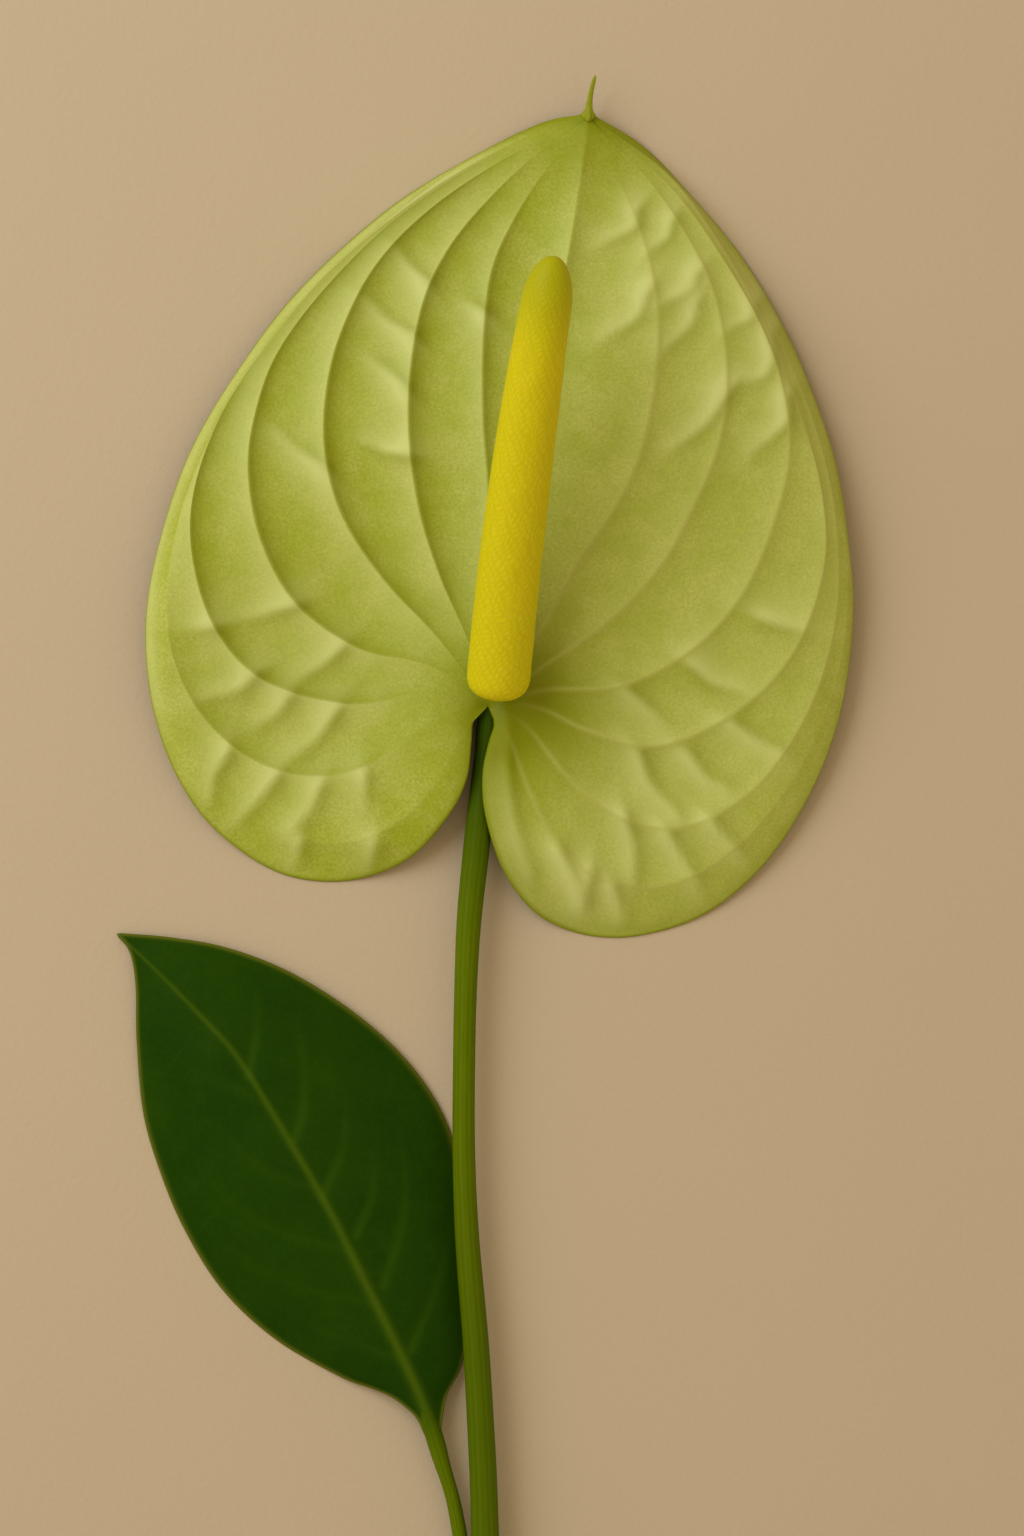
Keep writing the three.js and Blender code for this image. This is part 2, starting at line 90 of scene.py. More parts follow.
# The main veins on each side of the midrib, from the inner one out, with the height of each ridge
# as a share of the tallest.
LEFT_VEINS = [
    [[0, 0], [-0.4, 11.8], [0, 26.2], [0.2, 38.8], [-0.7, 51.4], [-0.7, 65.7], [0.7, 78.3],
     [4.9, 88.2], [10.8, 97.4], [17.9, 105.9]],
    [[0, 0], [-3.6, 11.8], [-8.6, 23.5], [-12.2, 35.2], [-14, 47.8], [-13.8, 60.4],
     [-11.5, 73], [-6.8, 82.9], [0.4, 91.8], [9, 100], [17.7, 106]],
    [[0, 0], [-8.6, 11.9], [-18.5, 22.7], [-25.7, 33.5], [-29, 44.3], [-29.2, 55.1],
     [-26.6, 66.8], [-20.3, 79.4], [-10.4, 89.8], [3, 99], [17.5, 106.2]],
    [[0, 0], [-10.5, 7.4], [-23.1, 10.5], [-34.5, 18.6], [-40.8, 30], [-43.1, 42.6],
     [-41.7, 53.5], [-37.6, 64.3], [-28.5, 76.4], [-15.9, 88.6], [0.5, 99.5], [17.3, 106.4]],
    [[0, 0], [-10.5, 2.4], [-25, 0.6], [-40.3, 4.8], [-49, 13.8], [-53.2, 26.5], [-53, 39.1],
     [-47.6, 53.6], [-37.6, 68.1], [-26.8, 80.3], [-9.5, 94], [7, 103.2], [17.2, 106.6]],
    [[0, 0], [-10.5, -2.8], [-21.4, -10.3], [-32.2, -12.4], [-43.1, -9.2], [-52.1, -1],
     [-57.2, 10.2], [-57.8, 22.5], [-55, 36.5], [-48.4, 52], [-38, 67.6], [-24, 82.8],
     [-7, 96.6], [8, 104.2], [17.1, 106.7]],
    [[0, 0], [-4.7, -5.2], [-8.7, -12.4], [-15.9, -20.6], [-26.8, -24.8], [-39.5, -22],
     [-50.6, -13.3], [-57.6, -0.5], [-60, 13.4], [-59.2, 25], [-56.2, 36.8], [-48.9, 52.8],
     [-38, 68.8], [-21.4, 86], [-4.4, 98.5], [9, 104.9], [17, 106.9]],
]
LEFT_RIDGES = [0.75, 0.95, 1, 1, 0.95, 0.6, 0.03]
RIGHT_VEINS = [
    [[0, 0], [9.3, 13.6], [16.5, 26.2], [23.7, 37], [28.2, 47.8], [30.4, 60.3], [30.7, 71.1],
     [28.8, 81.9], [24.6, 93.2], [18.4, 105.9]],
    [[0, 0], [10.3, 7.4], [22, 15.5], [31.3, 25.4], [37.6, 37.1], [41.8, 47.9], [43.2, 60.5],
     [40.7, 74.9], [35.5, 85.7], [28.3, 96.1], [18.6, 106]],
    [[0, 0], [10.3, 2.9], [23.8, 3.6], [36.4, 9.8], [45.5, 19.5], [51.2, 31.8], [54.3, 44.4],
     [53.6, 55.3], [50, 67], [42.8, 80.2], [32.8, 94.1], [18.9, 106.2]],
    [[0, 0], [8.5, -0.1], [18.4, -4.6], [29.3, -7.4], [40.1, -3.9], [50.1, 3.3], [56.9, 12.9],
     [60.7, 25.6], [60.4, 37.3], [57.3, 50], [51, 67], [41.6, 84.2], [32, 96.8],
     [19.1, 106.4]],
    [[0, 0], [6.7, -3.4], [14.8, -13.3], [23.9, -20.2], [34.7, -22], [45.6, -17],
     [53.8, -7.9], [60.1, 4.8], [63.1, 19.3], [62.4, 36.4], [58.4, 52.5], [51.8, 68],
     [43.2, 82.8], [33.2, 95.8], [19.3, 106.5]],
    [[0, 0], [4, -6.2], [7.3, -15], [12.6, -25], [20.4, -31.2], [31.4, -32.6], [42.2, -27.6],
     [51.6, -18.2], [59.2, -5.7], [63.8, 8.6], [65, 23], [63.6, 36.6], [59.8, 51.4],
     [53, 68], [44.4, 82.5], [34.2, 94.9], [19.5, 106.6]],
]
RIGHT_RIDGES = [0.6, 0.75, 0.85, 0.8, 0.6, 0.05]
# Short ridges that leave a main vein and die out in the panel beside it.
CROSS_RIDGES = [
    [(-47, -8.5), (-49.5, -12.8), (-50, -16.2)],
    [(-38.2, -12.8), (-40.9, -16.2), (-44.3, -20.2)],
    [(-30.4, -14.9), (-32, -18.9), (-34.7, -21.4)],
    [(-22.1, -12.8), (-22, -16.2)],
    [(-36, 1.6), (-38.2, -1.4), (-40.7, -2.9)],
    [(-27.4, -0.9), (-30.8, -5.8), (-33.8, -8.3)],
    [(-26.5, 10.4), (-29.5, 7.6), (-32, 6.1)],
    [(-42.1, 5.6), (-45.2, 2.9), (-50, 1.6)],
    [(-34.7, 18.2), (-39.1, 16.9), (-42.1, 16)],
    [(-49.5, 14.2), (-52.7, 13.9)],
    [(-20.3, -25), (-20.9, -28.1)],
    [(-33.8, -25), (-34.4, -27.7)],
    [(-13.5, 66.8), (-18.4, 70), (-21.1, 73.1)],
    [(-14.8, 57.2), (-17.3, 59.9), (-19.8, 61.9)],
    [(-11.3, 76.9), (-14, 79.6), (-15.8, 82.1)],
    [(-29.3, 43), (-34.7, 46.8), (-37.4, 49.7)],
    [(-14.6, 45.2), (-18.4, 45.7), (-20.9, 46.8)],
    [(-0.9, 71.1), (-2.5, 72.2)],
    [(27, 89.5), (26.3, 86.4), (21.4, 83.7)],
    [(33.3, 87.5), (32.4, 84.6), (29.7, 82.6)],
    [(37.6, 77.9), (36.4, 75.2), (32, 72.7)],
    [(37.8, 72.7), (36.7, 68.9), (32.6, 64.8)],
    [(28.8, 74.7), (26.8, 70), (22, 66.8)],
    [(48.2, 72.7), (47.3, 70), (44.3, 68.4)],
    [(51.3, 67.3), (51.3, 62.6), (49.5, 59.2), (45.2, 58.3)],
    [(54, 55.3), (53.6, 50.9), (47.9, 45.7)],
    [(42.7, 55.8), (39.4, 50.9), (34.2, 46.8)],
    [(25.6, 2.9), (30.1, -1.1)],
    [(36.9, 6.8), (40.3, 4), (44.3, 2.9)],
    [(49.7, 15.3), (55.6, 13.7)],
    [(44.8, -3.1), (48.2, -5.6), (52.4, -7.6)],
    [(36.4, -8.5), (39.4, -12.4), (42.8, -14.2)],
    [(27.4, -8.5), (29.5, -13.9), (34, -18.9)],
    [(25, -20.3), (26.5, -25.7), (26.5, -31.1)],
    [(32.9, -23.2), (35.5, -27.7), (38, -31.7)],
    [(40.9, -20.9), (45, -25.6)],
    [(18.7, -30.2), (17.6, -35.6)],
    [(22.7, -32.6), (24.3, -37.1)],
    [(13, -25.9), (15.7, -31.3), (17.1, -34.6)],
    [(3.6, -1.6), (3.6, -9.7), (4.3, -16.9), (5.8, -24.1), (7.9, -29.9)],
]
MIDDLE_LINE = len(LEFT_VEINS) + 1  # the midrib's place among all the lines from left to right
MIDRIB_RIDGE = 0.8
MIDRIB_WIDTH = 2.4
CREST_WIDTH = 0.45
CREST_TINTS = (0.12, 0.6)  # how strong the line on a crest is, on the left and on the right
RIGHT_RIDGE_SHARE = 0.7
# Where a ridge rises after the node and sinks before the apex, in mm along it.
VEIN_START = (2, 20)
VEIN_END = (6, 36)
MIDRIB_START = (2, 15)
MIDRIB_END = (10, 0)
OUTER_VEIN = 0.74  # veins further out than this, from 0 to 1, fade above the lobes
OUTER_VEIN_LOSS = 0.9
OUTER_VEIN_FADE = (0.22, 0.45)
CROSS_REACH = 7  # how far a short ridge is worked out, in widths
CROSS_STEPS = 79
# The steep sides face away from the light and get painted shade; the long sides get painted sheen.
STEEP_SIDE = (0.88, -0.47)  # the way that the short ridges' steep sides face
SPATHE_ARCH = 2.1
SPATHE_LOBE_ARCH = 1.35
SPATHE_THICKNESS = 0.9
SPATHE_RIM = 0.45
SPATHE_ROWS = 200
COLUMN_GAP = 0.95
PANEL_COLUMNS = (7, 17)  # the fewest and the most between two veins
COLUMN_CROWDING = 0.55
TROUGH_SKEW = 0.72
WIDEST_TROUGH = 14
RIGHT_TROUGH_SHARE = 0.42
RIGHT_TINT_SHARE = 0.4
# How far the painted shade past each vein and the painted sheen before the next one reach, in mm.
PAINTED_SHADE_REACH = 4.4
PAINTED_SHEEN_REACH = 4.5
ORIGIN = np.zeros(2)
# Where the spadix's painted shadow lies by the node, and how far it reaches, in mm.
NODE_SHADE_PLACE = np.array([6, -1])
NODE_SHADE_REACH = 13
# Tints that go by place on the spathe, most of them painted shade and painted highlight: how strong
# each is, and how far it reaches.
APEX_SHADE = (0.6, 13)
RIGHT_SHADE = (0.35, 4.5)
LEFT_SHADE = (0.2, 2.5)
LEFT_PAINTED_HIGHLIGHT = (0.55, 9)
RIM_TINT = (0.9, 0.5)
NODE_DIP = (0.6, 2.6)
CUSP_LENGTH = 8.2
CUSP_CURL = 4
CUSP_LEAN = 1.3
CUSP_PLACES = np.linspace(0.06, 1, 14)
# How wide and how deep the drip tip is at places along it.
CUSP_STOPS = [0, 0.12, 0.5, 0.92, 1]
CUSP_WIDTHS = [2.3, 1.7, 0.96, 0.72, 0]
CUSP_DEPTHS = [1, 1.05, 0.8, 0.5, 0]

# ---- The leaf's lines, from the blade's base ---------------------------------------------------

LEAF_BASE = np.array([-10.4, -130.1, 0])
LEAF_MIDRIB = [
    [1.3, -4.5, 3.9], [0, 0, 4], [-1.9, 5.5, 4.6], [-6.5, 15.4, 5.9], [-11.9, 26.3, 6.7],
    [-18.2, 39, 7], [-25.5, 51.6, 6.8], [-34.5, 66.1, 5.8], [-40.8, 73.3, 4.8],
    [-50.8, 83.3, 2.8], [-57, 88.9, 0.6],
]
LEAF_LEFT = [
    [0.3, -4.5, 3.7], [-1.3, -1, 3.8], [-2.2, 0.9, 3.6], [-3.6, 2.5, 3.3], [-6.9, 5, 2.5],
    [-11, 6.7, 1.6], [-16.4, 8.7, 0.7], [-27.9, 15.3, 0], [-37.6, 24.3, 0], [-44.7, 35.6, 0],
    [-49.4, 47, 0], [-52.1, 57, 0.4], [-53.2, 69.7, 1], [-53.4, 79.6, 1.3],
    [-54.5, 85.6, 1.1], [-57, 88.9, 0.6],
]
LEAF_RIGHT = [
    [2.3, -4.5, 3.7], [1.8, -1, 3.8], [2.1, 1.9, 3.7], [2.5, 4.2, 3.4], [3.1, 6.1, 3],
    [5.4, 10.5, 2.1], [6.7, 17.1, 1.1], [6.9, 28, 0.5], [6, 40.7, 0.4], [3.8, 51.5, 0.5],
    [-0.1, 59.9, 0.8], [-6.5, 68, 1.1], [-15.5, 75.6, 1.3], [-26.4, 82.2, 1.4],
    [-37.3, 86.3, 1.4], [-47.3, 88.1, 1.1], [-57, 88.9, 0.6],
]
# Side veins from the flower's node, strong ones on the right of the midrib and faint ones on the
# left.
LEAF_RIGHT_VEINS = [
    [(-43.4, -66.7), (-42, -59.4), (-41.8, -51.3)],
    [(-35.3, -78.4), (-33.5, -73), (-33.5, -64), (-34.9, -56.7)],
    [(-30, -88.4), (-26.4, -80.2), (-25.7, -72.1)],
    [(-23.9, -95.6), (-21, -88.4), (-20.6, -80.2)],
    [(-19, -104.7), (-15.9, -94.7), (-15, -85.7), (-15.9, -76.6)],
    [(-14.1, -116.4), (-9.6, -105.6), (-6.9, -94.7)],
]
LEAF_LEFT_VEINS = [
    [(-40.2, -71.8), (-47.7, -68.2), (-56, -65)],
    [(-31.8, -87), (-40.5, -83.7), (-49.9, -75.4)],
    [(-26.4, -97.9), (-37.4, -95.2), (-47.7, -88.9), (-56, -78.5)],
    [(-22, -107.6), (-30, -106.2), (-40.5, -102.4), (-49.9, -96.1)],
    [(-17, -117.6), (-28.1, -113.9), (-37.4, -108.7)],
]
LEAF_ARCH = 1.6
LEAF_THICKNESS = 0.6
LEAF_RIM = 0.4
LEAF_KEEL = 1.3
LEAF_COLUMN_CROWDING = 1.25
# The midrib narrows and sinks towards the tip, in the fold of the blade.
LEAF_RIB_HEIGHT = 0.55
LEAF_RIB_TIP_HEIGHT = 0.12
LEAF_RIB_WIDTH = 1.5
LEAF_RIB_NARROWING = 1.05
LEAF_FOLD_DEPTH = 0.35
LEAF_FOLD_REACH = 3.2
LEAF_VEIN_REACH = 1.8
LEAF_VEIN_LINE = 0.9
LEAF_SWELL = 0.1
LEAF_ROWS = 190
LEAF_HALF_COLUMNS = 58

# ---- The stalks, the spadix and the cut piece of main stem -------------------------------------

FLOWER_STEM_ROUTE = [
    [-0.18, -162.6, 6.55], [-0.18, -158.6, 6.55], [-0.6, -148, 5.28], [-1.1, -134.4, 5.2],
    [-2, -118.1, 5.2], [-3.6, -98.3, 5.2], [-4.4, -80.2, 5.2], [-4.3, -63.9, 5.2],
    [-3.7, -42.2, 5.2], [-2.1, -26, 5.24], [-0.6, -12, 5.44], [0, -5.2, 5.73],
    [0.3, -1, 6], [0.6, 2.5, 6.3],
]
FLOWER_STEM_RADII = [2.55, 2.47, 2.3, 2.05, 2.05, 2.4, 2.15]
LEAF_STALK_ROUTE = [
    [-4.21, -162.6, 4.03], [-4.21, -158.6, 4.03], [-4.9, -151, 3.4], [-6.4, -143.6, 3],
    [-8.4, -136.6, 3.2], [-10.3, -130.4, 3.5], [-12, -125, 3.5], [-14.6, -119, 4.2],
    [-17.6, -112.5, 5.4], [-21.4, -105, 6],
]
STALK_UNEVENNESS = 0.05
STALK_LOWEST = 0.02  # above the table
LEAF_STALK_RADII = [1.85, 1.45, 1.32, 1.3, 1.62, 1.3, 0.9, 0.7, 0.5]
SPADIX_START = [1.6, 1.7, 14.385]
SPADIX_LENGTH = 84
SPADIX_RADIUS = 5.7
SPADIX_TIP_RADIUS = 4.1
SPADIX_RISE = math.radians(22)
SPADIX_HEADINGS = (math.radians(5), math.radians(10))
SPADIX_ROWS = 400
SPADIX_SIDES = 216
SPADIX_SPIRALS = (21, 34)
SPADIX_GIRTH = 36
SPADIX_END_CROWDING = 0.6
SPADIX_TAPER = 2.5
SPADIX_BASE_FULLNESS = 2.8
SPIRAL_PITCH = 2.6
SECOND_SPIRAL_CLIMB = 1.62
SPADIX_UNEVENNESS = 0.05
GREEN_TIP_LENGTH = 20
STIPE_ROUTE = [[1.4, 3.6, 8.6], [1.7, 4, 10.4], [2.2, 4.8, 12.9], [2.6, 6, 15.3]]
STIPE_RADII = [2.2, 2.3, 3]
STIPE_ROWS = 24
STIPE_SIDES = 48
MAIN_STEM_X = -1.9
MAIN_STEM_RADIUS = 5.477
MAIN_STEM_TOP = -161.95
MAIN_STEM_LENGTH = 17
# Radius as a share of the widest, and the place along from the cut end.
MAIN_STEM_PROFILE = [
    (0.94, 0), (0.98, 0.04), (0.95, 0.3), (0.93, 0.34), (0.96, 0.38), (1, 0.62), (0.96, 0.68),
    (0.98, 0.74), (0.98, 0.92), (0.917, 1),
]
MAIN_STEM_ROWS = 150
MAIN_STEM_SIDES = 128
MAIN_STEM_GIRTH = 34
SCAR_PLACES = (0.34, 0.68)
SCAR_WIDTH = 0.018
SCAR_DEPTH = 0.12
BARK_ROUGHNESS = 0.06
CUT_RINGS = (0, 0.2, 0.4, 0.6, 0.75, 0.88, 0.96)
TOP_RINGS = (0.97, 0.88, 0.75, 0.55, 0.3, 0)
# The flower's node in metres, worked out from the cut main stem's corners.
CUT_LOW, CUT_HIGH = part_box("main_stem")
NODE = np.array([
    (CUT_LOW.x + CUT_HIGH.x) / 2 - MAIN_STEM_X / MM, CUT_HIGH.y - MAIN_STEM_TOP / MM, 0.0])

# ---- Curves and fields -------------------------------------------------------------------------


def spline(points, places):
    """Points at places from 0 to 1 on the Catmull-Rom curve through the given points."""
    listed = np.array([list(p) + [0] * (3 - len(p)) for p in points], float)
    padded = np.vstack([2 * listed[0] - listed[1], listed, 2 * listed[-1] - listed[-2]])
    at = np.clip(places, 0, 1) * (len(listed) - 1)
    first = np.minimum(at.astype(int), len(listed) - 2)
    f = (at - first)[:, None]
    p0, p1, p2, p3 = (padded[first + k] for k in range(4))
    linear = (p2 - p0) * f
    square = (2 * p0 - 5 * p1 + 4 * p2 - p3) * f**2
    cube = (3 * p1 - p0 - 3 * p2 + p3) * f**3
    return p1 + 0.5 * (linear + square + cube)


def by_length(points, places):
    """Points at shares of the curve's length."""
    even = np.linspace(0, 1, 2001)
    fine = spline(points, even)
    run = np.concatenate([[0], np.cumsum(np.linalg.norm(np.diff(fine, axis=0), axis=1))])
    return spline(points, np.interp(np.asarray(places) * run[-1], run, even))


def ease(low, high, values):
    """Rises smoothly from 0 at low to 1 at high."""
    t = np.clip((values - low) / (high - low), 0, 1)
    return t * t * (3 - 2 * t)


def fall_off(gap, width):
    """1 where there is no gap, falling smoothly to almost nothing at twice the width."""
    return np.exp(-((gap / width) ** 2))


def tint(gap, strength, reach):
    """A value of that strength where there is no gap, which falls off over its reach."""
    return strength * fall_off(gap, reach)


def plan_gap(places, others):
    """Distance in plan from each place to another one."""
    return np.linalg.norm(places[..., :2] - others[..., :2], axis=-1)


def nearest(places, line):
    """Distance in plan from each place to a line of points, and how far along the line that is."""
    distance = np.empty(len(places))
    share = np.empty(len(places))
    batch = 4000
    for start in range(0, len(places), batch):
        part = places[start:start + batch]
        gaps = (part[:, None, 0] - line[None, :, 0]) ** 2 + (part[:, None, 1] - line[None, :, 1]) ** 2
        hit = gaps.argmin(axis=1)
        distance[start:start + batch] = np.sqrt(gaps[np.arange(len(part)), hit])
        share[start:start + batch] = hit / (len(line) - 1)
    return distance, share


def waves(places, length, seed):
    """A soft random swell between about -1 and 1, with the given wavelength in mm."""
    rng = np.random.default_rng(seed)
    total = np.zeros(len(places))
    for _ in range(9):
        angle = rng.uniform(0, 2 * math.pi)
        pitch = length * rng.uniform(0.7, 1.5)
        phase = rng.uniform(0, 2 * math.pi)
        run = places[:, 0] * math.cos(angle) + places[:, 1] * math.sin(angle)
        total += np.sin(2 * math.pi * run / pitch + phase)
    return total / 4.5


def skin_waves(turn, along, girth, length, seed):
    """A soft random swell over a round piece's surface, one row for each step along it."""
    around, run = np.meshgrid(turn * girth, along)
    places = np.stack([around.ravel(), run.ravel()], axis=1)
    return waves(places, length, seed).reshape(around.shape)


# ---- Meshes ------------------------------------------------------------------------------------


def skin(rings):
    """Points and faces of a tube through closed rings of points."""
    rows, count = rings.shape[:2]
    here = np.arange(rows * count).reshape(rows, count)
    beside = np.roll(here, -1, axis=1)
    faces = np.stack([here[:-1], beside[:-1], beside[1:], here[1:]], axis=-1)
    return rings.reshape(-1, 3), faces.reshape(-1, 4)


def tube(path, radii):
    """Rings square to a path. radii has one row of radii for each point of the path."""
    along = np.gradient(path, axis=0)
    along /= np.linalg.norm(along, axis=1)[:, None]
    sideways = np.cross([0, 0, 1], along)
    sideways /= np.linalg.norm(sideways, axis=1)[:, None]
    upward = np.cross(along, sideways)
    turn = np.arange(radii.shape[1]) / radii.shape[1] * 2 * math.pi
    across = radii[:, :, None] * np.cos(turn)[None, :, None] * sideways[:, None, :]
    above = radii[:, :, None] * np.sin(turn)[None, :, None] * upward[:, None, :]
    return path[:, None, :] + across + above


def piece(name, points, faces, values, material):
    """One finished piece: its mesh in place, with values per point for its material to read."""
    mesh = bpy.data.meshes.new(name)
    mesh.from_pydata((points / MM + NODE).tolist(), [], faces.tolist())
    for key, numbers in values.items():
        layer = mesh.attributes.new(key, "FLOAT", "POINT")
        layer.data.foreach_set("value", np.asarray(numbers, np.float32).ravel())
    form = bmesh.new()
    form.from_mesh(mesh)
    bmesh.ops.remove_doubles(form, verts=form.verts, dist=2e-7)
    bmesh.ops.recalc_face_normals(form, faces=form.faces)
    form.to_mesh(mesh)
    form.free()
    mesh.shade_smooth()
    mesh.materials.append(material)
    made = bpy.data.objects.new(name, mesh)
    bpy.context.scene.collection.objects.link(made)
    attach(made, "root")
    return made


def sheet_rings(rows, halves, rim):
    """Closed rings round a sheet: its face from left to right, its rounded right rim, its back
    from right to left and its rounded left rim."""
    lift = np.zeros_like(rows)
    lift[..., 2] = halves
    outward_left = rows[:, 0, :2] - rows[:, 1, :2]
    outward_right = rows[:, -1, :2] - rows[:, -2, :2]
    rims = []
    for edge, outward in ((rows[:, -1], outward_right), (rows[:, 0], outward_left)):
        size = np.maximum(np.linalg.norm(outward, axis=1), 1e-6)[:, None]
        out = edge.copy()
        reach = np.minimum(rim, np.linalg.norm(rows[:, 0, :2] - rows[:, -1, :2], axis=1))[:, None]
        out[:, :2] += outward / size * reach
        rims.append(out[:, None])
    return np.concatenate([rows + lift, rims[0], (rows - lift)[:, ::-1], rims[1]], axis=1)


def both_faces(values, rim_value=None):
    """Spreads a value per point of a sheet over its face, rims and back."""
    right = values[:, -1:] if rim_value is None else np.full_like(values[:, -1:], rim_value)
    left = values[:, :1] if rim_value is None else np.full_like(values[:, :1], rim_value)
    return np.concatenate([values, right, values[:, ::-1], left], axis=1)


def under_side(shape, amount):
    """A value that is 0 on a sheet's face and rims, and that amount on its back."""
    face = np.zeros(shape)
    return np.concatenate([face, face[:, :1], face + amount, face[:, :1]], axis=1)


# ---- Materials ---------------------------------------------------------------------------------


def linear(hex_colour):
    """An sRGB hex colour as linear red, green, blue and alpha."""
    parts = [int(hex_colour[i:i + 2], 16) / 255 for i in (1, 3, 5)]
    return [p / 12.92 if p <= 0.04045 else ((p + 0.055) / 1.055) ** 2.4 for p in parts] + [1.0]


def per_mm(size):
    """The scale of a pattern whose features are that many millimetres across."""
    return MM / size


def node(tree, kind, inputs=None, **settings):
    """Adds a node with its settings, and sets each of its inputs or links it to a socket."""
    made = tree.nodes.new(kind)
    for key, value in settings.items():
        setattr(made, key, value)
    for key, value in (inputs or {}).items():
        if isinstance(value, bpy.types.NodeSocket):
            tree.links.new(value, made.inputs[key])
        else:
            made.inputs[key].default_value = value
    return made


def blank(name):
    """An empty material: itself and its node tree."""
    material = bpy.data.materials.new(name)
    material.use_nodes = True
    material.node_tree.nodes.clear()
    return material, material.node_tree


def finish_material(tree, shader):
    """Ends a material with its shader."""
    node(tree, "ShaderNodeOutputMaterial", {"Surface": shader.outputs["BSDF"]})


def spathe_material(look):
    """Anthurium spathe, grown: a thin sheet of yellow-green tissue under a waxy cuticle. The wax
    gives a broad soft sheen that picks out each ridge, over fine cells that break it up. Sheen on the
    flanks that face the light is also painted into the colour, and so is shade on the flanks and
    places that face away from it."""
    material, tree = blank("spathe_waxy_cuticle")
    place = node(tree, "ShaderNodeTexCoord").outputs["Object"]
    vein = node(tree, "ShaderNodeAttribute", attribute_name="vein").outputs["Fac"]
    rim = node(tree, "ShaderNodeAttribute", attribute_name="rim").outputs["Fac"]
    deep = node(tree, "ShaderNodeAttribute", attribute_name="deep").outputs["Fac"]
    back = node(tree, "ShaderNodeAttribute", attribute_name="back").outputs["Fac"]
    painted_sheen = node(tree, "ShaderNodeAttribute", attribute_name="pale").outputs["Fac"]
    # Patches of paler and darker tissue, about 7 mm across.
    patches = node(tree, "ShaderNodeTexNoise", {
        "Vector": place, "Scale": per_mm(7), "Detail": 4, "Roughness": 0.6})
    # The cuticle's fine grain. Cells are 0.05 mm; it is drawn at 0.5 mm so that it shows.
    grain = node(tree, "ShaderNodeTexNoise", {
        "Vector": place, "Scale": per_mm(0.5), "Detail": 3, "Roughness": 0.7})
    patch_share = node(tree, "ShaderNodeMapRange", {
        "Value": patches.outputs["Fac"], "From Min": 0.36, "From Max": 0.64, "To Max": 0.85})
    grain_share = node(tree, "ShaderNodeMapRange", {
        "Value": grain.outputs["Fac"], "From Min": 0.35, "From Max": 0.65, "To Max": 0.5})
    tone = node(tree, "ShaderNodeMix", {
        0: patch_share.outputs["Result"], 6: look.body, 7: look.pale}, data_type="RGBA")
    speckled = node(tree, "ShaderNodeMix", {
        0: grain_share.outputs["Result"], 6: tone.outputs[2], 7: look.deep}, data_type="RGBA")
    # Painted sheen where the surface faces the light, then deep green that is mostly painted shade:
    # past each vein, behind each short ridge, by the node under the spadix, at the drip tip and along
    # the right margin.
    with_painted_sheen = node(tree, "ShaderNodeMix", {
        0: painted_sheen, 6: speckled.outputs[2], 7: look.painted_sheen}, data_type="RGBA")
    shaded = node(tree, "ShaderNodeMix", {
        0: deep, 6: with_painted_sheen.outputs[2], 7: look.deep}, data_type="RGBA")
    veined = node(tree, "ShaderNodeMix", {
        0: vein, 6: shaded.outputs[2], 7: look.vein}, data_type="RGBA")
    edged = node(tree, "ShaderNodeMix", {
        0: rim, 6: veined.outputs[2], 7: look.rim}, data_type="RGBA")
    turned = node(tree, "ShaderNodeMix", {
        0: back, 6: edged.outputs[2], 7: look.back}, data_type="RGBA")
    gloss = node(tree, "ShaderNodeMapRange", {
        "Value": patches.outputs["Fac"], "From Min": 0.3, "From Max": 0.7,
        "To Min": 0.44, "To Max": 0.54})
    fine = node(tree, "ShaderNodeBump", {
        "Height": grain.outputs["Fac"], "Strength": 0.35, "Distance": 0.00012})
    shader = node(tree, "ShaderNodeBsdfPrincipled", {
        "Base Color": turned.outputs[2], "Roughness": gloss.outputs["Result"], "IOR": 1.5,
        "Subsurface Weight": 0.15, "Subsurface Radius": (1.0, 0.9, 0.25),
        "Subsurface Scale": 0.0012, "Specular IOR Level": 0.15,
        "Coat Weight": 0.07, "Coat Roughness": 0.42,
        "Normal": fine.outputs["Normal"]})
    finish_material(tree, shader)
    return material


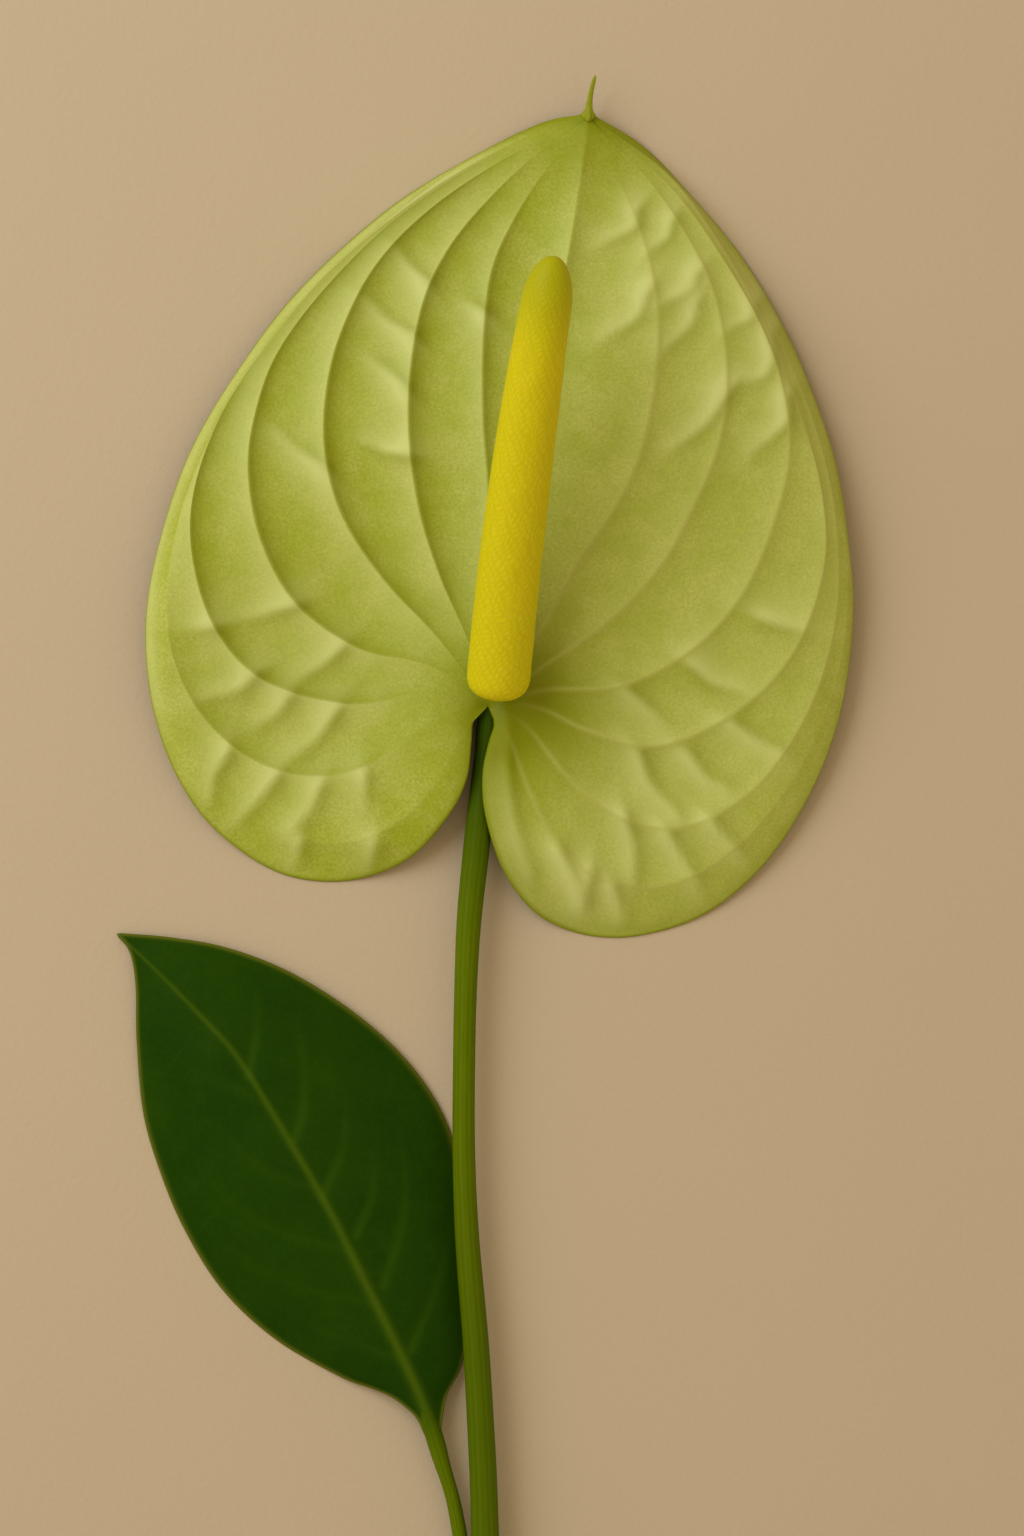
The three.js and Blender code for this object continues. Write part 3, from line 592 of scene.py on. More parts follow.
def spadix_material(look):
    """Anthurium spadix, grown: packed minute flowers, fleshy and slightly waxy. They give a soft
    granular yellow with paler pollen and a greener end."""
    material, tree = blank("spadix_packed_flowers")
    place = node(tree, "ShaderNodeTexCoord").outputs["Object"]
    tip = node(tree, "ShaderNodeAttribute", attribute_name="tip").outputs["Fac"]
    groove = node(tree, "ShaderNodeAttribute", attribute_name="groove").outputs["Fac"]
    # Flowers ripen unevenly, in patches about 5 mm across.
    ripening = node(tree, "ShaderNodeTexNoise", {
        "Vector": place, "Scale": per_mm(5), "Detail": 4, "Roughness": 0.65})
    # Pollen on the flowers. Grains are 0.02 mm; it is drawn in 0.7 mm tufts so that it shows.
    pollen = node(tree, "ShaderNodeTexNoise", {
        "Vector": place, "Scale": per_mm(0.7), "Detail": 4, "Roughness": 0.7})
    ripe_share = node(tree, "ShaderNodeMapRange", {
        "Value": ripening.outputs["Fac"], "From Min": 0.35, "From Max": 0.7, "To Max": 0.6})
    pollen_share = node(tree, "ShaderNodeMapRange", {
        "Value": pollen.outputs["Fac"], "From Min": 0.48, "From Max": 0.68, "To Max": 0.6})
    tone = node(tree, "ShaderNodeMix", {
        0: ripe_share.outputs["Result"], 6: look.body, 7: look.warm}, data_type="RGBA")
    dusted = node(tree, "ShaderNodeMix", {
        0: pollen_share.outputs["Result"], 6: tone.outputs[2], 7: look.pollen}, data_type="RGBA")
    grooved = node(tree, "ShaderNodeMix", {
        0: groove, 6: dusted.outputs[2], 7: look.groove}, data_type="RGBA")
    green = node(tree, "ShaderNodeMix", {
        0: tip, 6: grooved.outputs[2], 7: look.tip}, data_type="RGBA")
    fine = node(tree, "ShaderNodeBump", {
        "Height": pollen.outputs["Fac"], "Strength": 0.4, "Distance": 0.0001})
    shader = node(tree, "ShaderNodeBsdfPrincipled", {
        "Base Color": green.outputs[2], "Roughness": 0.52, "IOR": 1.42,
        "Specular IOR Level": 0.22,
        "Subsurface Weight": 0.2, "Subsurface Radius": (1.0, 0.8, 0.1),
        "Subsurface Scale": 0.0015,
        "Normal": fine.outputs["Normal"]})
    finish_material(tree, shader)
    return material


def leaf_material(look):
    """Anthurium leaf blade, grown: leathery dark green tissue with a thin satin cuticle. Its
    veins and rim are paler, and its back is lighter and duller."""
    material, tree = blank("leaf_satin_cuticle")
    place = node(tree, "ShaderNodeTexCoord").outputs["Object"]
    midrib = node(tree, "ShaderNodeAttribute", attribute_name="midrib").outputs["Fac"]
    vein = node(tree, "ShaderNodeAttribute", attribute_name="vein").outputs["Fac"]
    rim = node(tree, "ShaderNodeAttribute", attribute_name="rim").outputs["Fac"]
    back = node(tree, "ShaderNodeAttribute", attribute_name="back").outputs["Fac"]
    # Clouds of lighter tissue about 12 mm across, and a net of small veins 2 mm apart. The
    # cuticle's cells are 0.05 mm; they are drawn at 0.4 mm so that they show.
    clouds = node(tree, "ShaderNodeTexNoise", {
        "Vector": place, "Scale": per_mm(12), "Detail": 4, "Roughness": 0.6})
    net = node(tree, "ShaderNodeTexVoronoi", {
        "Vector": place, "Scale": per_mm(2)}, feature="DISTANCE_TO_EDGE")
    grain = node(tree, "ShaderNodeTexNoise", {
        "Vector": place, "Scale": per_mm(0.4), "Detail": 3, "Roughness": 0.7})
    cloud_share = node(tree, "ShaderNodeMapRange", {
        "Value": clouds.outputs["Fac"], "From Min": 0.35, "From Max": 0.7, "To Max": 0.5})
    net_share = node(tree, "ShaderNodeMapRange", {
        "Value": net.outputs["Distance"], "From Min": 0.0, "From Max": 0.08,
        "To Min": 0.12, "To Max": 0.0})
    tone = node(tree, "ShaderNodeMix", {
        0: cloud_share.outputs["Result"], 6: look.body, 7: look.light}, data_type="RGBA")
    netted = node(tree, "ShaderNodeMix", {
        0: net_share.outputs["Result"], 6: tone.outputs[2], 7: look.vein}, data_type="RGBA")
    veined = node(tree, "ShaderNodeMix", {
        0: vein, 6: netted.outputs[2], 7: look.vein}, data_type="RGBA")
    ribbed = node(tree, "ShaderNodeMix", {
        0: midrib, 6: veined.outputs[2], 7: look.midrib}, data_type="RGBA")
    edged = node(tree, "ShaderNodeMix", {
        0: rim, 6: ribbed.outputs[2], 7: look.rim}, data_type="RGBA")
    turned = node(tree, "ShaderNodeMix", {
        0: back, 6: edged.outputs[2], 7: look.back}, data_type="RGBA")
    fine = node(tree, "ShaderNodeBump", {
        "Height": grain.outputs["Fac"], "Strength": 0.3, "Distance": 0.0001})
    shader = node(tree, "ShaderNodeBsdfPrincipled", {
        "Base Color": turned.outputs[2], "Roughness": 0.5, "IOR": 1.42,
        "Specular IOR Level": 0.04, "Normal": fine.outputs["Normal"]})
    finish_material(tree, shader)
    return material


def stalk_material(name, look):
    """Anthurium stalk, grown: a firm green stalk with fine lengthwise ribs under a thin cuticle. The
    ribs give long faint streaks, and its ends are darker: under the flower that is painted shade."""
    material, tree = blank(name)
    place = node(tree, "ShaderNodeTexCoord").outputs["Object"]
    deep = node(tree, "ShaderNodeAttribute", attribute_name="deep").outputs["Fac"]
    streak = node(tree, "ShaderNodeAttribute", attribute_name="streak").outputs["Fac"]
    # Blotches about 6 mm long and 1 mm wide, and fibres of 0.3 mm, drawn out along the stalk.
    drawn = node(tree, "ShaderNodeMapping", {"Vector": place, "Scale": (1.0, 0.16, 1.0)})
    blotches = node(tree, "ShaderNodeTexNoise", {
        "Vector": drawn.outputs["Vector"], "Scale": per_mm(1), "Detail": 3, "Roughness": 0.6})
    fibres = node(tree, "ShaderNodeTexNoise", {
        "Vector": drawn.outputs["Vector"], "Scale": per_mm(0.3), "Detail": 2})
    blotch_share = node(tree, "ShaderNodeMapRange", {
        "Value": blotches.outputs["Fac"], "From Min": 0.4, "From Max": 0.7, "To Max": 0.4})
    tone = node(tree, "ShaderNodeMix", {
        0: blotch_share.outputs["Result"], 6: look.body, 7: look.light}, data_type="RGBA")
    streaked = node(tree, "ShaderNodeMix", {
        0: streak, 6: tone.outputs[2], 7: look.deep}, data_type="RGBA")
    shaded = node(tree, "ShaderNodeMix", {
        0: deep, 6: streaked.outputs[2], 7: look.deep}, data_type="RGBA")
    fine = node(tree, "ShaderNodeBump", {
        "Height": fibres.outputs["Fac"], "Strength": 0.35, "Distance": 0.0001})
    shader = node(tree, "ShaderNodeBsdfPrincipled", {
        "Base Color": shaded.outputs[2], "Roughness": 0.48, "IOR": 1.42,
        "Specular IOR Level": 0.06, "Normal": fine.outputs["Normal"]})
    finish_material(tree, shader)
    return material


def main_stem_material(look):
    """Anthurium main stem, grown and cut with a knife: dull green bark with corky scars, and a
    moist pale cut face dotted with fibre ends inside a green rind."""
    material, tree = blank("main_stem_bark_and_cut")
    place = node(tree, "ShaderNodeTexCoord").outputs["Object"]
    cut = node(tree, "ShaderNodeAttribute", attribute_name="cut").outputs["Fac"]
    scar = node(tree, "ShaderNodeAttribute", attribute_name="scar").outputs["Fac"]
    rind = node(tree, "ShaderNodeAttribute", attribute_name="rind").outputs["Fac"]
    # Corky flecks about 1.5 mm, drawn out round the stem.
    drawn = node(tree, "ShaderNodeMapping", {"Vector": place, "Scale": (0.5, 1.4, 0.5)})
    flecks = node(tree, "ShaderNodeTexNoise", {
        "Vector": drawn.outputs["Vector"], "Scale": per_mm(1.5), "Detail": 5, "Roughness": 0.7})
    # Fibre ends, 0.9 mm apart on the cut.
    fibres = node(tree, "ShaderNodeTexVoronoi", {
        "Vector": place, "Scale": per_mm(0.9), "Randomness": 0.8})
    fleck_share = node(tree, "ShaderNodeMapRange", {
        "Value": flecks.outputs["Fac"], "From Min": 0.48, "From Max": 0.66, "To Max": 0.85})
    dot_share = node(tree, "ShaderNodeMapRange", {
        "Value": fibres.outputs["Distance"], "From Min": 0.1, "From Max": 0.32,
        "To Min": 0.65, "To Max": 0.0})
    bark = node(tree, "ShaderNodeMix", {
        0: fleck_share.outputs["Result"], 6: look.bark, 7: look.cork}, data_type="RGBA")
    scarred = node(tree, "ShaderNodeMix", {
        0: scar, 6: bark.outputs[2], 7: look.scar}, data_type="RGBA")
    pith = node(tree, "ShaderNodeMix", {
        0: dot_share.outputs["Result"], 6: look.pith, 7: look.fibre}, data_type="RGBA")
    ringed = node(tree, "ShaderNodeMix", {
        0: rind, 6: pith.outputs[2], 7: look.rind}, data_type="RGBA")
    colour = node(tree, "ShaderNodeMix", {
        0: cut, 6: scarred.outputs[2], 7: ringed.outputs[2]}, data_type="RGBA")
    gloss = node(tree, "ShaderNodeMapRange", {"Value": cut, "To Min": 0.7, "To Max": 0.4})
    fine = node(tree, "ShaderNodeBump", {
        "Height": flecks.outputs["Fac"], "Strength": 0.5, "Distance": 0.0003})
    shader = node(tree, "ShaderNodeBsdfPrincipled", {
        "Base Color": colour.outputs[2], "Roughness": gloss.outputs["Result"], "IOR": 1.45,
        "Normal": fine.outputs["Normal"]})
    finish_material(tree, shader)
    return material


def floor_material(look):
    """Matt painted board: flat pale paint laid with a roller, which leaves a very fine stipple."""
    material, tree = blank("board_matt_paint")
    place = node(tree, "ShaderNodeTexCoord").outputs["Object"]
    # Roller stipple 1.2 mm, and uneven cover about 60 mm across.
    stipple = node(tree, "ShaderNodeTexNoise", {
        "Vector": place, "Scale": per_mm(1.2), "Detail": 3, "Roughness": 0.6})
    cover = node(tree, "ShaderNodeTexNoise", {
        "Vector": place, "Scale": per_mm(60), "Detail": 3, "Roughness": 0.5})
    share = node(tree, "ShaderNodeMapRange", {
        "Value": cover.outputs["Fac"], "From Min": 0.3, "From Max": 0.7, "To Max": 0.25})
    colour = node(tree, "ShaderNodeMix", {
        0: share.outputs["Result"], 6: look.floor, 7: look.floor_shade}, data_type="RGBA")
    fine = node(tree, "ShaderNodeBump", {
        "Height": stipple.outputs["Fac"], "Strength": 0.3, "Distance": 0.0003})
    shader = node(tree, "ShaderNodeBsdfPrincipled", {
        "Base Color": colour.outputs[2], "Roughness": 0.85, "Normal": fine.outputs["Normal"]})
    finish_material(tree, shader)
    return material


# ---- Settings ----------------------------------------------------------------------------------


def colour_property(name, description, hex_colour):
    return FloatVectorProperty(
        name=name, description=description, subtype="COLOR", size=4, min=0, max=1,
        default=linear(hex_colour))


def length_property(name, description, millimetres):
    return FloatProperty(
        name=name, description=description, unit="LENGTH", precision=5, min=0,
        default=millimetres / MM)


class SpatheSettings(bpy.types.PropertyGroup):
    """Relief and colours of the spathe."""

    ridge_height: length_property("Ridge height", "Of the tallest main vein's sharp crest", 0.32)
    ridge_width: length_property("Ridge width", "How far the sharp crest reaches", 1.6)
    cross_height: length_property("Cross ridge height", "Of the short ridges in the lobes", 1.15)
    cross_width: length_property("Cross ridge width", "How far a short ridge's flank reaches", 1.9)
    midrib_height: length_property("Midrib height", "Of the midrib above the spathe", 1.3)
    sag: FloatProperty(name="Sag", description="Of each panel between two veins, as a share of "
                       "its width", default=0.1, min=0, max=0.2)
    swell: length_property("Swell", "Unevenness of the panels between the veins", 0.12)
    # Painted sheen: the colour of the flanks that face the light.
    body: colour_property("Body", "Most of the face", "#B5C432")
    painted_sheen: colour_property("Raised tissue", "Palest, beside the veins", "#DEE694")
    pale: colour_property("Pale patches", "Lighter tissue in the panels", "#CCD464")
    # Also painted shade past the veins and behind the short ridges, the spadix's painted shadow by
    # the node, and painted shade at the tip and the right margin.
    deep: colour_property("Deep green", "Hollows, the node and the tip", "#8A9300")
    vein: colour_property("Veins", "Crests of the main veins", "#C3C66A")
    rim: colour_property("Rim", "The thin outer margin", "#8F9A10")
    back: colour_property("Back", "The underside", "#A3AE50")


class SpadixSettings(bpy.types.PropertyGroup):
    """Flowers and colours of the spadix."""

    flower_relief: length_property("Flower relief", "Of each minute flower", 0.045)
    body: colour_property("Body", "Most flowers", "#E2D806")
    warm: colour_property("Riper flowers", "Patches of riper flowers", "#E4D204")
    pollen: colour_property("Pollen", "Pale dust on the flowers", "#E8E030")
    groove: colour_property("Between flowers", "Fine lines between the flowers", "#A89E02")
    tip: colour_property("Tip", "Unripe flowers at the tip", "#A6AC04")


class LeafSettings(bpy.types.PropertyGroup):
    """Relief and colours of the leaf blade."""

    vein_depth: length_property("Vein depth", "How far the side veins sink into the face", 0.3)
    body: colour_property("Body", "Most of the face", "#1F4001")
    light: colour_property("Light patches", "Lighter tissue", "#2D4F04")
    vein: colour_property("Side veins", "Side veins and their net", "#37590A")
    midrib: colour_property("Midrib", "The midrib", "#4C660C")
    rim: colour_property("Rim", "The thin outer margin", "#6E7420")
    back: colour_property("Back", "The underside", "#5E7A36")


class StalkSettings(bpy.types.PropertyGroup):
    """Ribs and colours of the flower stem and the leaf stalk."""

    rib_height: length_property("Rib height", "Of the fine lengthwise ribs", 0.022)
    body: colour_property("Body", "Most of each stalk", "#6C8000")
    light: colour_property("Light streaks", "Lighter lengthwise streaks", "#7E8E02")
    # Also the painted shade on the flower stem under the flower.
    deep: colour_property("Deep green", "Between ribs and under the flower", "#324F00")


class MainStemSettings(bpy.types.PropertyGroup):
    """Colours of the cut piece of main stem."""

    bark: colour_property("Bark", "Green bark", "#6B7226")
    cork: colour_property("Cork", "Corky flecks", "#8A7A4A")
    scar: colour_property("Scars", "Rings left by old leaves", "#6E5A34")
    pith: colour_property("Pith", "Moist cut face", "#D8D6A4")
    fibre: colour_property("Fibres", "Fibre ends in the cut", "#A7A468")
    rind: colour_property("Rind", "Green ring round the cut", "#8C9A4A")


class StageSettings(bpy.types.PropertyGroup):
    """The floor, the light and the camera."""

    floor: colour_property("Floor", "Matt paint of the floor", "#D2BFA4")
    floor_shade: colour_property("Floor shade", "Thinner paint", "#CCB99E")
    key_colour: colour_property("Key light", "Large soft light from the upper left", "#F0F8FF")
    fill_colour: colour_property("Fill light", "Light from all round", "#FFE8BC")
    key_power: FloatProperty(name="Key power", description="Of the large soft light",
                             unit="POWER", default=4.1, min=0)
    fill_strength: FloatProperty(name="Fill strength", description="Of the light all round",
                                 default=0.53, min=0)
    camera_height: length_property("Camera height", "Of the camera above the floor", 1500)


# ---- The spathe --------------------------------------------------------------------------------


def spathe_lines():
    """Every line that the spathe is built through, from the left margin to the right: its points,
    how far out it is from -1 to 1, and the height of its ridge as a share of the tallest."""
    count = len(LEFT_VEINS) + 1
    left = [(line, -(i + 1) / count, LEFT_RIDGES[i]) for i, line in enumerate(LEFT_VEINS)]
    right = [(line, (i + 1) / count, RIGHT_RIDGES[i]) for i, line in enumerate(RIGHT_VEINS)]
    low_left, low_middle, low_right = (
        [[x, y, z * NODE_HEIGHT / LISTED_NODE_HEIGHT] for x, y, z in line]
        for line in (LEFT_MARGIN, MIDRIB, RIGHT_MARGIN))
    return [
        (low_left, -1, 0), *reversed(left), (low_middle, 0, MIDRIB_RIDGE), *right,
        (low_right, 1, 0)]


def vein_reach(out, share):
    """How strong a vein is along its length. The outermost ones show only in the lobes."""
    lost = OUTER_VEIN_LOSS if abs(out) > OUTER_VEIN else 0.0
    return 1 - ease(*OUTER_VEIN_FADE, share) * lost


def spathe_grid(lines):
    """Points of the spathe's middle surface without relief, how far out each column is, the first
    column of each panel, and how far each point hangs, with how much painted shade and painted sheen
    it gets: shade on the flank past each vein, away from the light, and sheen on the flank that rises
    to the next vein, towards the light."""
    shares = np.linspace(0, 1, SPATHE_ROWS)
    curves = [by_length(points, shares) for points, _out, _height in lines]
    strong = [height * vein_reach(out, shares) for _points, out, height in lines]
    last = len(curves) - 1
    # The outermost panels hang only a small share of a full trough.
    shallow = {0: 0.04, 1: 0.15, last - 2: 0.3, last - 1: 0.04}
    columns, outs, starts, hang, painted_flank_shade, painted_sheen = [], [], [], [], [], []
    for i in range(last):
        outer_reach = vein_reach(max(abs(lines[i][1]), abs(lines[i + 1][1])), shares)
        gap = plan_gap(curves[i + 1], curves[i])
        steps = int(np.clip(round(np.percentile(gap, 90) / COLUMN_GAP), *PANEL_COLUMNS))
        starts.append(len(columns))
        between = (curves[i] + curves[i + 1]) / 2
        wide = nearest(between, curves[i])[0] + nearest(between, curves[i + 1])[0]
        for f in np.arange(steps) / steps:
            # Columns stand closer together at the veins, where the relief is sharp.
            f = f - COLUMN_CROWDING * math.sin(2 * math.pi * f) / (2 * math.pi)
            # The trough is deepest two fifths of the way across.
            skewed = max(f, 0.0) ** TROUGH_SKEW
            depth = 4 * skewed * (1 - skewed)
            hang.append(-wide * depth * shallow.get(i, 1.0) * outer_reach)
            # Painted shade on the flank past the panel's left vein, which faces away from the light,
            # and painted sheen on the flank rising to its right vein, which faces the light.
            painted_flank_shade.append(strong[i] * np.exp(-wide * f / PAINTED_SHADE_REACH))
            painted_sheen.append(strong[i + 1] * np.exp(-wide * (1 - f) / PAINTED_SHEEN_REACH))
            columns.append(curves[i] * (1 - f) + curves[i + 1] * f)
            outs.append(lines[i][1] * (1 - f) + lines[i + 1][1] * f)
    starts.append(len(columns))
    columns.append(curves[-1])
    outs = np.array([*outs, 1.0])
    grid = np.stack(columns, axis=1)
    lower_by_arch(grid, outs, curves, starts, shares)
    flat = np.zeros(SPATHE_ROWS)
    panels = [np.stack([*listed, flat], axis=1) for listed in (hang, painted_flank_shade, painted_sheen)]
    return grid, outs, starts, panels


def lower_by_arch(grid, outs, curves, starts, shares):
    """Lets the sheet fall from its midrib's height to its margins' on each side."""
    midrib = curves[MIDDLE_LINE]
    # The lobes fall evenly from the node; further up the sheet falls late, near its margin.
    arch = SPATHE_LOBE_ARCH + (SPATHE_ARCH - SPATHE_LOBE_ARCH) * ease(0.25, 0.6, shares)
    # Above the lobes, how far out a point is goes by its real distance from the midrib.
    gaps = plan_gap(grid[:, 1:], grid[:, :-1])
    run = np.concatenate([np.zeros((SPATHE_ROWS, 1)), np.cumsum(gaps, axis=1)], axis=1)
    middle = starts[MIDDLE_LINE]
    run = np.abs(run - run[:, middle:middle + 1])
    upper = ease(0.3, 0.5, shares)[:, None]
    for side, margin, edge in ((outs < 0, curves[0], 0), (outs >= 0, curves[-1], -1)):
        measured = run[:, side] / np.maximum(run[:, [edge]], 0.001)
        share = np.abs(outs[side])[None, :] * (1 - upper) + measured * upper
        share = share ** arch[:, None]
        grid[:, side, 2] = midrib[:, 2:3] * (1 - share) + margin[:, 2:3] * share


def add_veins(grid, lines, starts, relief, crest, look):
    """Raises the midrib and the main veins, and marks their pale crests."""
    for i, (points, out, height) in enumerate(lines):
        if out in (-1, 1):
            continue
        low = starts[max(i - 2, 0)]
        high = starts[min(i + 2, len(starts) - 1)] + 1
        part = grid[:, low:high].reshape(-1, 3)
        fine = by_length(points, np.linspace(0, 1, 700))
        distance, share = nearest(part, fine)
        length = plan_gap(fine[1:], fine[:-1]).sum()
        along = share * length
        to_end = length - along
        fade = ease(*VEIN_START, along) * ease(*VEIN_END, to_end) * vein_reach(out, share)
        if out == 0:
            width = MIDRIB_WIDTH
            tall = look.midrib_height * MM * ease(*MIDRIB_START, along)
            tall *= 1 - 0.5 * ease(*MIDRIB_END, to_end)
        else:
            width = look.ridge_width * MM
            tall = look.ridge_height * MM * height * fade * (1 if out < 0 else RIGHT_RIDGE_SHARE)
        # The crest is sharp, but for a rounding of a fifth of a millimetre.
        soft = np.sqrt(distance**2 + 0.05) - 0.22
        relief[:, low:high] += (tall * np.exp(-soft / width)).reshape(SPATHE_ROWS, -1)
        line_value = fall_off(distance, CREST_WIDTH) * fade * CREST_TINTS[0 if out < 0 else 1]
        if out == 0:
            line_value *= 0.5
        crest[:, low:high] = np.maximum(crest[:, low:high], line_value.reshape(SPATHE_ROWS, -1))


def add_cross_ridges(grid, relief, pale, deep, look):
    """Raises the short ridges. Like a scale, each has a long flank towards the light, with painted
    sheen, and a short steep one away from it, with painted shade."""
    flat = grid.reshape(-1, 3)
    for points in CROSS_RIDGES:
        listed = np.array(points, float)
        reach = look.cross_width * MM * CROSS_REACH
        inside = np.all(
            (flat[:, :2] > listed.min(axis=0) - reach) & (flat[:, :2] < listed.max(axis=0) + reach),
            axis=1)
        fine = by_length(points, np.linspace(0, 1, CROSS_STEPS + 1))
        distance, share = nearest(flat[inside], fine)
        run = listed[-1] - listed[0]
        steep = np.array([run[1], -run[0]]) / np.linalg.norm(run)
        if steep[0] * STEEP_SIDE[0] + steep[1] * STEEP_SIDE[1] < 0:
            steep = -steep
        hit = fine[np.round(share * CROSS_STEPS).astype(int), :2]
        behind = ease(-1.2, 1.2, (flat[inside, :2] - hit) @ steep)
        flank = look.cross_width * MM * (1.4 - 0.75 * behind)
        tall = look.cross_height * MM * (1 - 0.5 * share)
        tall *= 1 - 0.35 * ease(0, 20, listed[0, 1])
        # The crest is rounded over about 0.6 mm.
        soft = np.sqrt(distance**2 + 0.4) - 0.632
        shape = np.exp(-soft / flank)
        fading = 1 - 0.4 * share
        # Painted sheen on the long flank, which faces the light, and painted shade on the steep one
        # behind, which faces away.
        for field, amount in (
                (relief, tall * shape),
                (pale, 0.85 * fading * shape * (1 - behind)),
                (deep, 0.45 * fading * shape * behind)):
            added = np.zeros(len(flat))
            added[inside] = amount
            field += added.reshape(relief.shape)


def spathe_relief(grid, lines, starts, panels, look):
    """Height that the veins, short ridges and swells add, and how much each point is a vein, gets
    painted sheen where it faces the light, or gets painted shade where it faces away."""
    hang, painted_flank_shade, painted_sheen = panels
    # Each panel hangs between its two veins like a shallow trough.
    reach = ease(2, 26, plan_gap(grid, ORIGIN)) * ease(3, 30, plan_gap(grid, grid[-1:, :1]))
    right = np.arange(grid.shape[1])[None, :] > starts[MIDDLE_LINE]
    relief = look.sag * np.maximum(hang, -WIDEST_TROUGH)
    relief *= np.where(right, RIGHT_TROUGH_SHARE, 1.0)
    relief *= reach
    # Painted sheen where the surface rises to a vein, towards the light, and painted shade on the
    # flank beyond it, away from the light. The right half gets a little painted sheen all over.
    weight = reach * np.where(right, RIGHT_TINT_SHARE, 1.0)
    pale = 0.6 * weight * painted_sheen + 0.2 * reach * right
    deep = 0.6 * weight * painted_flank_shade
    crest = np.zeros(relief.shape)
    add_veins(grid, lines, starts, relief, crest, look)
    add_cross_ridges(grid, relief, pale, deep, look)
    flat = grid.reshape(-1, 3)
    swell = waves(flat, 17, RNG_SEED) + 0.5 * waves(flat, 8, RNG_SEED + 1)
    relief += look.swell * MM * swell.reshape(relief.shape)
    return relief, crest, pale, deep


def cusp_rings(last_ring, middle, columns_count):
    """Rings of the drip tip: a fleshy point that narrows, leans and curls up off the table."""
    turn = np.linspace(0, math.pi, columns_count)
    rings = []
    for place in CUSP_PLACES:
        width = np.interp(place, CUSP_STOPS, CUSP_WIDTHS)
        depth = np.interp(place, CUSP_STOPS, CUSP_DEPTHS)
        centre = middle + np.array([
            CUSP_LEAN * place**2, CUSP_LENGTH * place, CUSP_CURL * place**1.6])
        over = np.stack([
            -np.cos(turn) * width / 2, 0 * turn, np.sin(turn) * depth / 2], axis=1)
        face = centre + over
        rear = centre - over
        rings.append(np.concatenate([face, face[-1:], rear, face[:1]]))
    rings = np.array(rings)
    # The first rings still have the shape of the spathe's last one.
    blend = ease(0, 0.3, CUSP_PLACES)[:, None, None]
    moved = last_ring[None] + (rings.mean(axis=1, keepdims=True) - last_ring.mean(axis=0)[None, None])
    return moved * (1 - blend) + rings * blend


def spathe_tints(grid, middle, pale, deep):
    """Adds the tints that go by place on the whole spathe, most of them painted shade and painted
    highlight, and gives that of its rim.
    """
    from_apex = plan_gap(grid, middle)
    left_gap = plan_gap(grid, grid[:, :1])
    right_gap = plan_gap(grid, grid[:, -1:])
    # Beside the node, most of all on its right, the tissue is deeper green and gets the spadix's
    # painted shadow; painted sheen is taken away there.
    shaded = fall_off(plan_gap(grid, NODE_SHADE_PLACE), NODE_SHADE_REACH)
    deep += 1.1 * shaded
    pale *= 1 - 0.8 * shaded
    # Painted shade at the tip, which curls up and faces away from the light.
    deep += tint(from_apex, *APEX_SHADE)
    # Painted shade along the right margin, which slopes away from the light, and a narrow darker band
    # along the left one. The middle of the left margin, which faces the light, gets a painted
    # highlight.
    deep += tint(right_gap, *RIGHT_SHADE) + tint(left_gap, *LEFT_SHADE)
    middle_run = ease(20, 45, plan_gap(grid, ORIGIN)) * ease(10, 40, from_apex)
    pale += tint(left_gap, *LEFT_PAINTED_HIGHLIGHT) * ease(-15, 10, grid[..., 1]) * middle_run
    return tint(np.minimum(left_gap, right_gap), *RIM_TINT)


def build_spathe(look):
    lines = spathe_lines()
    grid, outs, starts, panels = spathe_grid(lines)
    relief, crest, pale, deep = spathe_relief(grid, lines, starts, panels, look)
    columns_count = grid.shape[1]
    centre_column = starts[MIDDLE_LINE]
    halves = SPATHE_THICKNESS / 2 + (SPATHE_RIM - SPATHE_THICKNESS) / 2 * np.abs(outs) ** 6
    halves = np.tile(halves, (SPATHE_ROWS, 1))
    fade_out = 1 - np.abs(outs)[None, :] ** 40
    # Round the node the sheet dips to its stem, and where it lies on the table it sinks no lower.
    dip = tint(plan_gap(grid, ORIGIN), *NODE_DIP)
    rise = ease(0.2, 2.5, grid[..., 2] + 0.4)
    grid[..., 2] += np.where(relief > 0, relief, relief * rise) * fade_out - dip
    grid[..., 2] = np.maximum(grid[..., 2], halves)
    # The first ring is drawn together at the node, and the last one runs on into the drip tip.
    rings = sheet_rings(grid, halves, SPATHE_RIM / 2)
    lift = np.array([0, 0, halves[0, 0]])
    rings[0] = grid[0, 0]
    rings[0, :columns_count] += lift
    rings[0, columns_count + 1:-1] -= lift
    middle = grid[-1, centre_column]
    cusp = cusp_rings(rings[-1], middle, columns_count)
    points, faces = skin(np.concatenate([rings, cusp]))
    # On the left half each square is split along its other diagonal, the way the ridges run.
    faces = faces.reshape(-1, rings.shape[1], 4)
    faces[:, :centre_column] = np.roll(faces[:, :centre_column], 1, axis=-1)
    rim = spathe_tints(grid, middle, pale, deep)

    def spread(values, tail, edge=None):
        whole = both_faces(values, edge)
        return np.concatenate([whole, np.full((len(cusp), whole.shape[1]), tail)])

    # 'deep' holds painted shade as well as deeper green, and 'pale' holds painted sheen. The drip tip
    # gets painted shade.
    values = {
        "vein": spread(crest, 0.0),
        "rim": spread(rim, 0.1, 0.9),
        "deep": spread(np.clip(deep, 0, 1), 0.6),
        "pale": spread(np.clip(pale, 0, 0.9), 0.0),
        "back": np.concatenate([
            under_side(relief.shape, 1.0), np.zeros((len(cusp), rings.shape[1]))]),
    }
    material = spathe_material(look)
    made = piece("spathe_sheet", points, faces.reshape(-1, 4), values, material)
    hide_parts("spathe")


# ---- The spadix --------------------------------------------------------------------------------


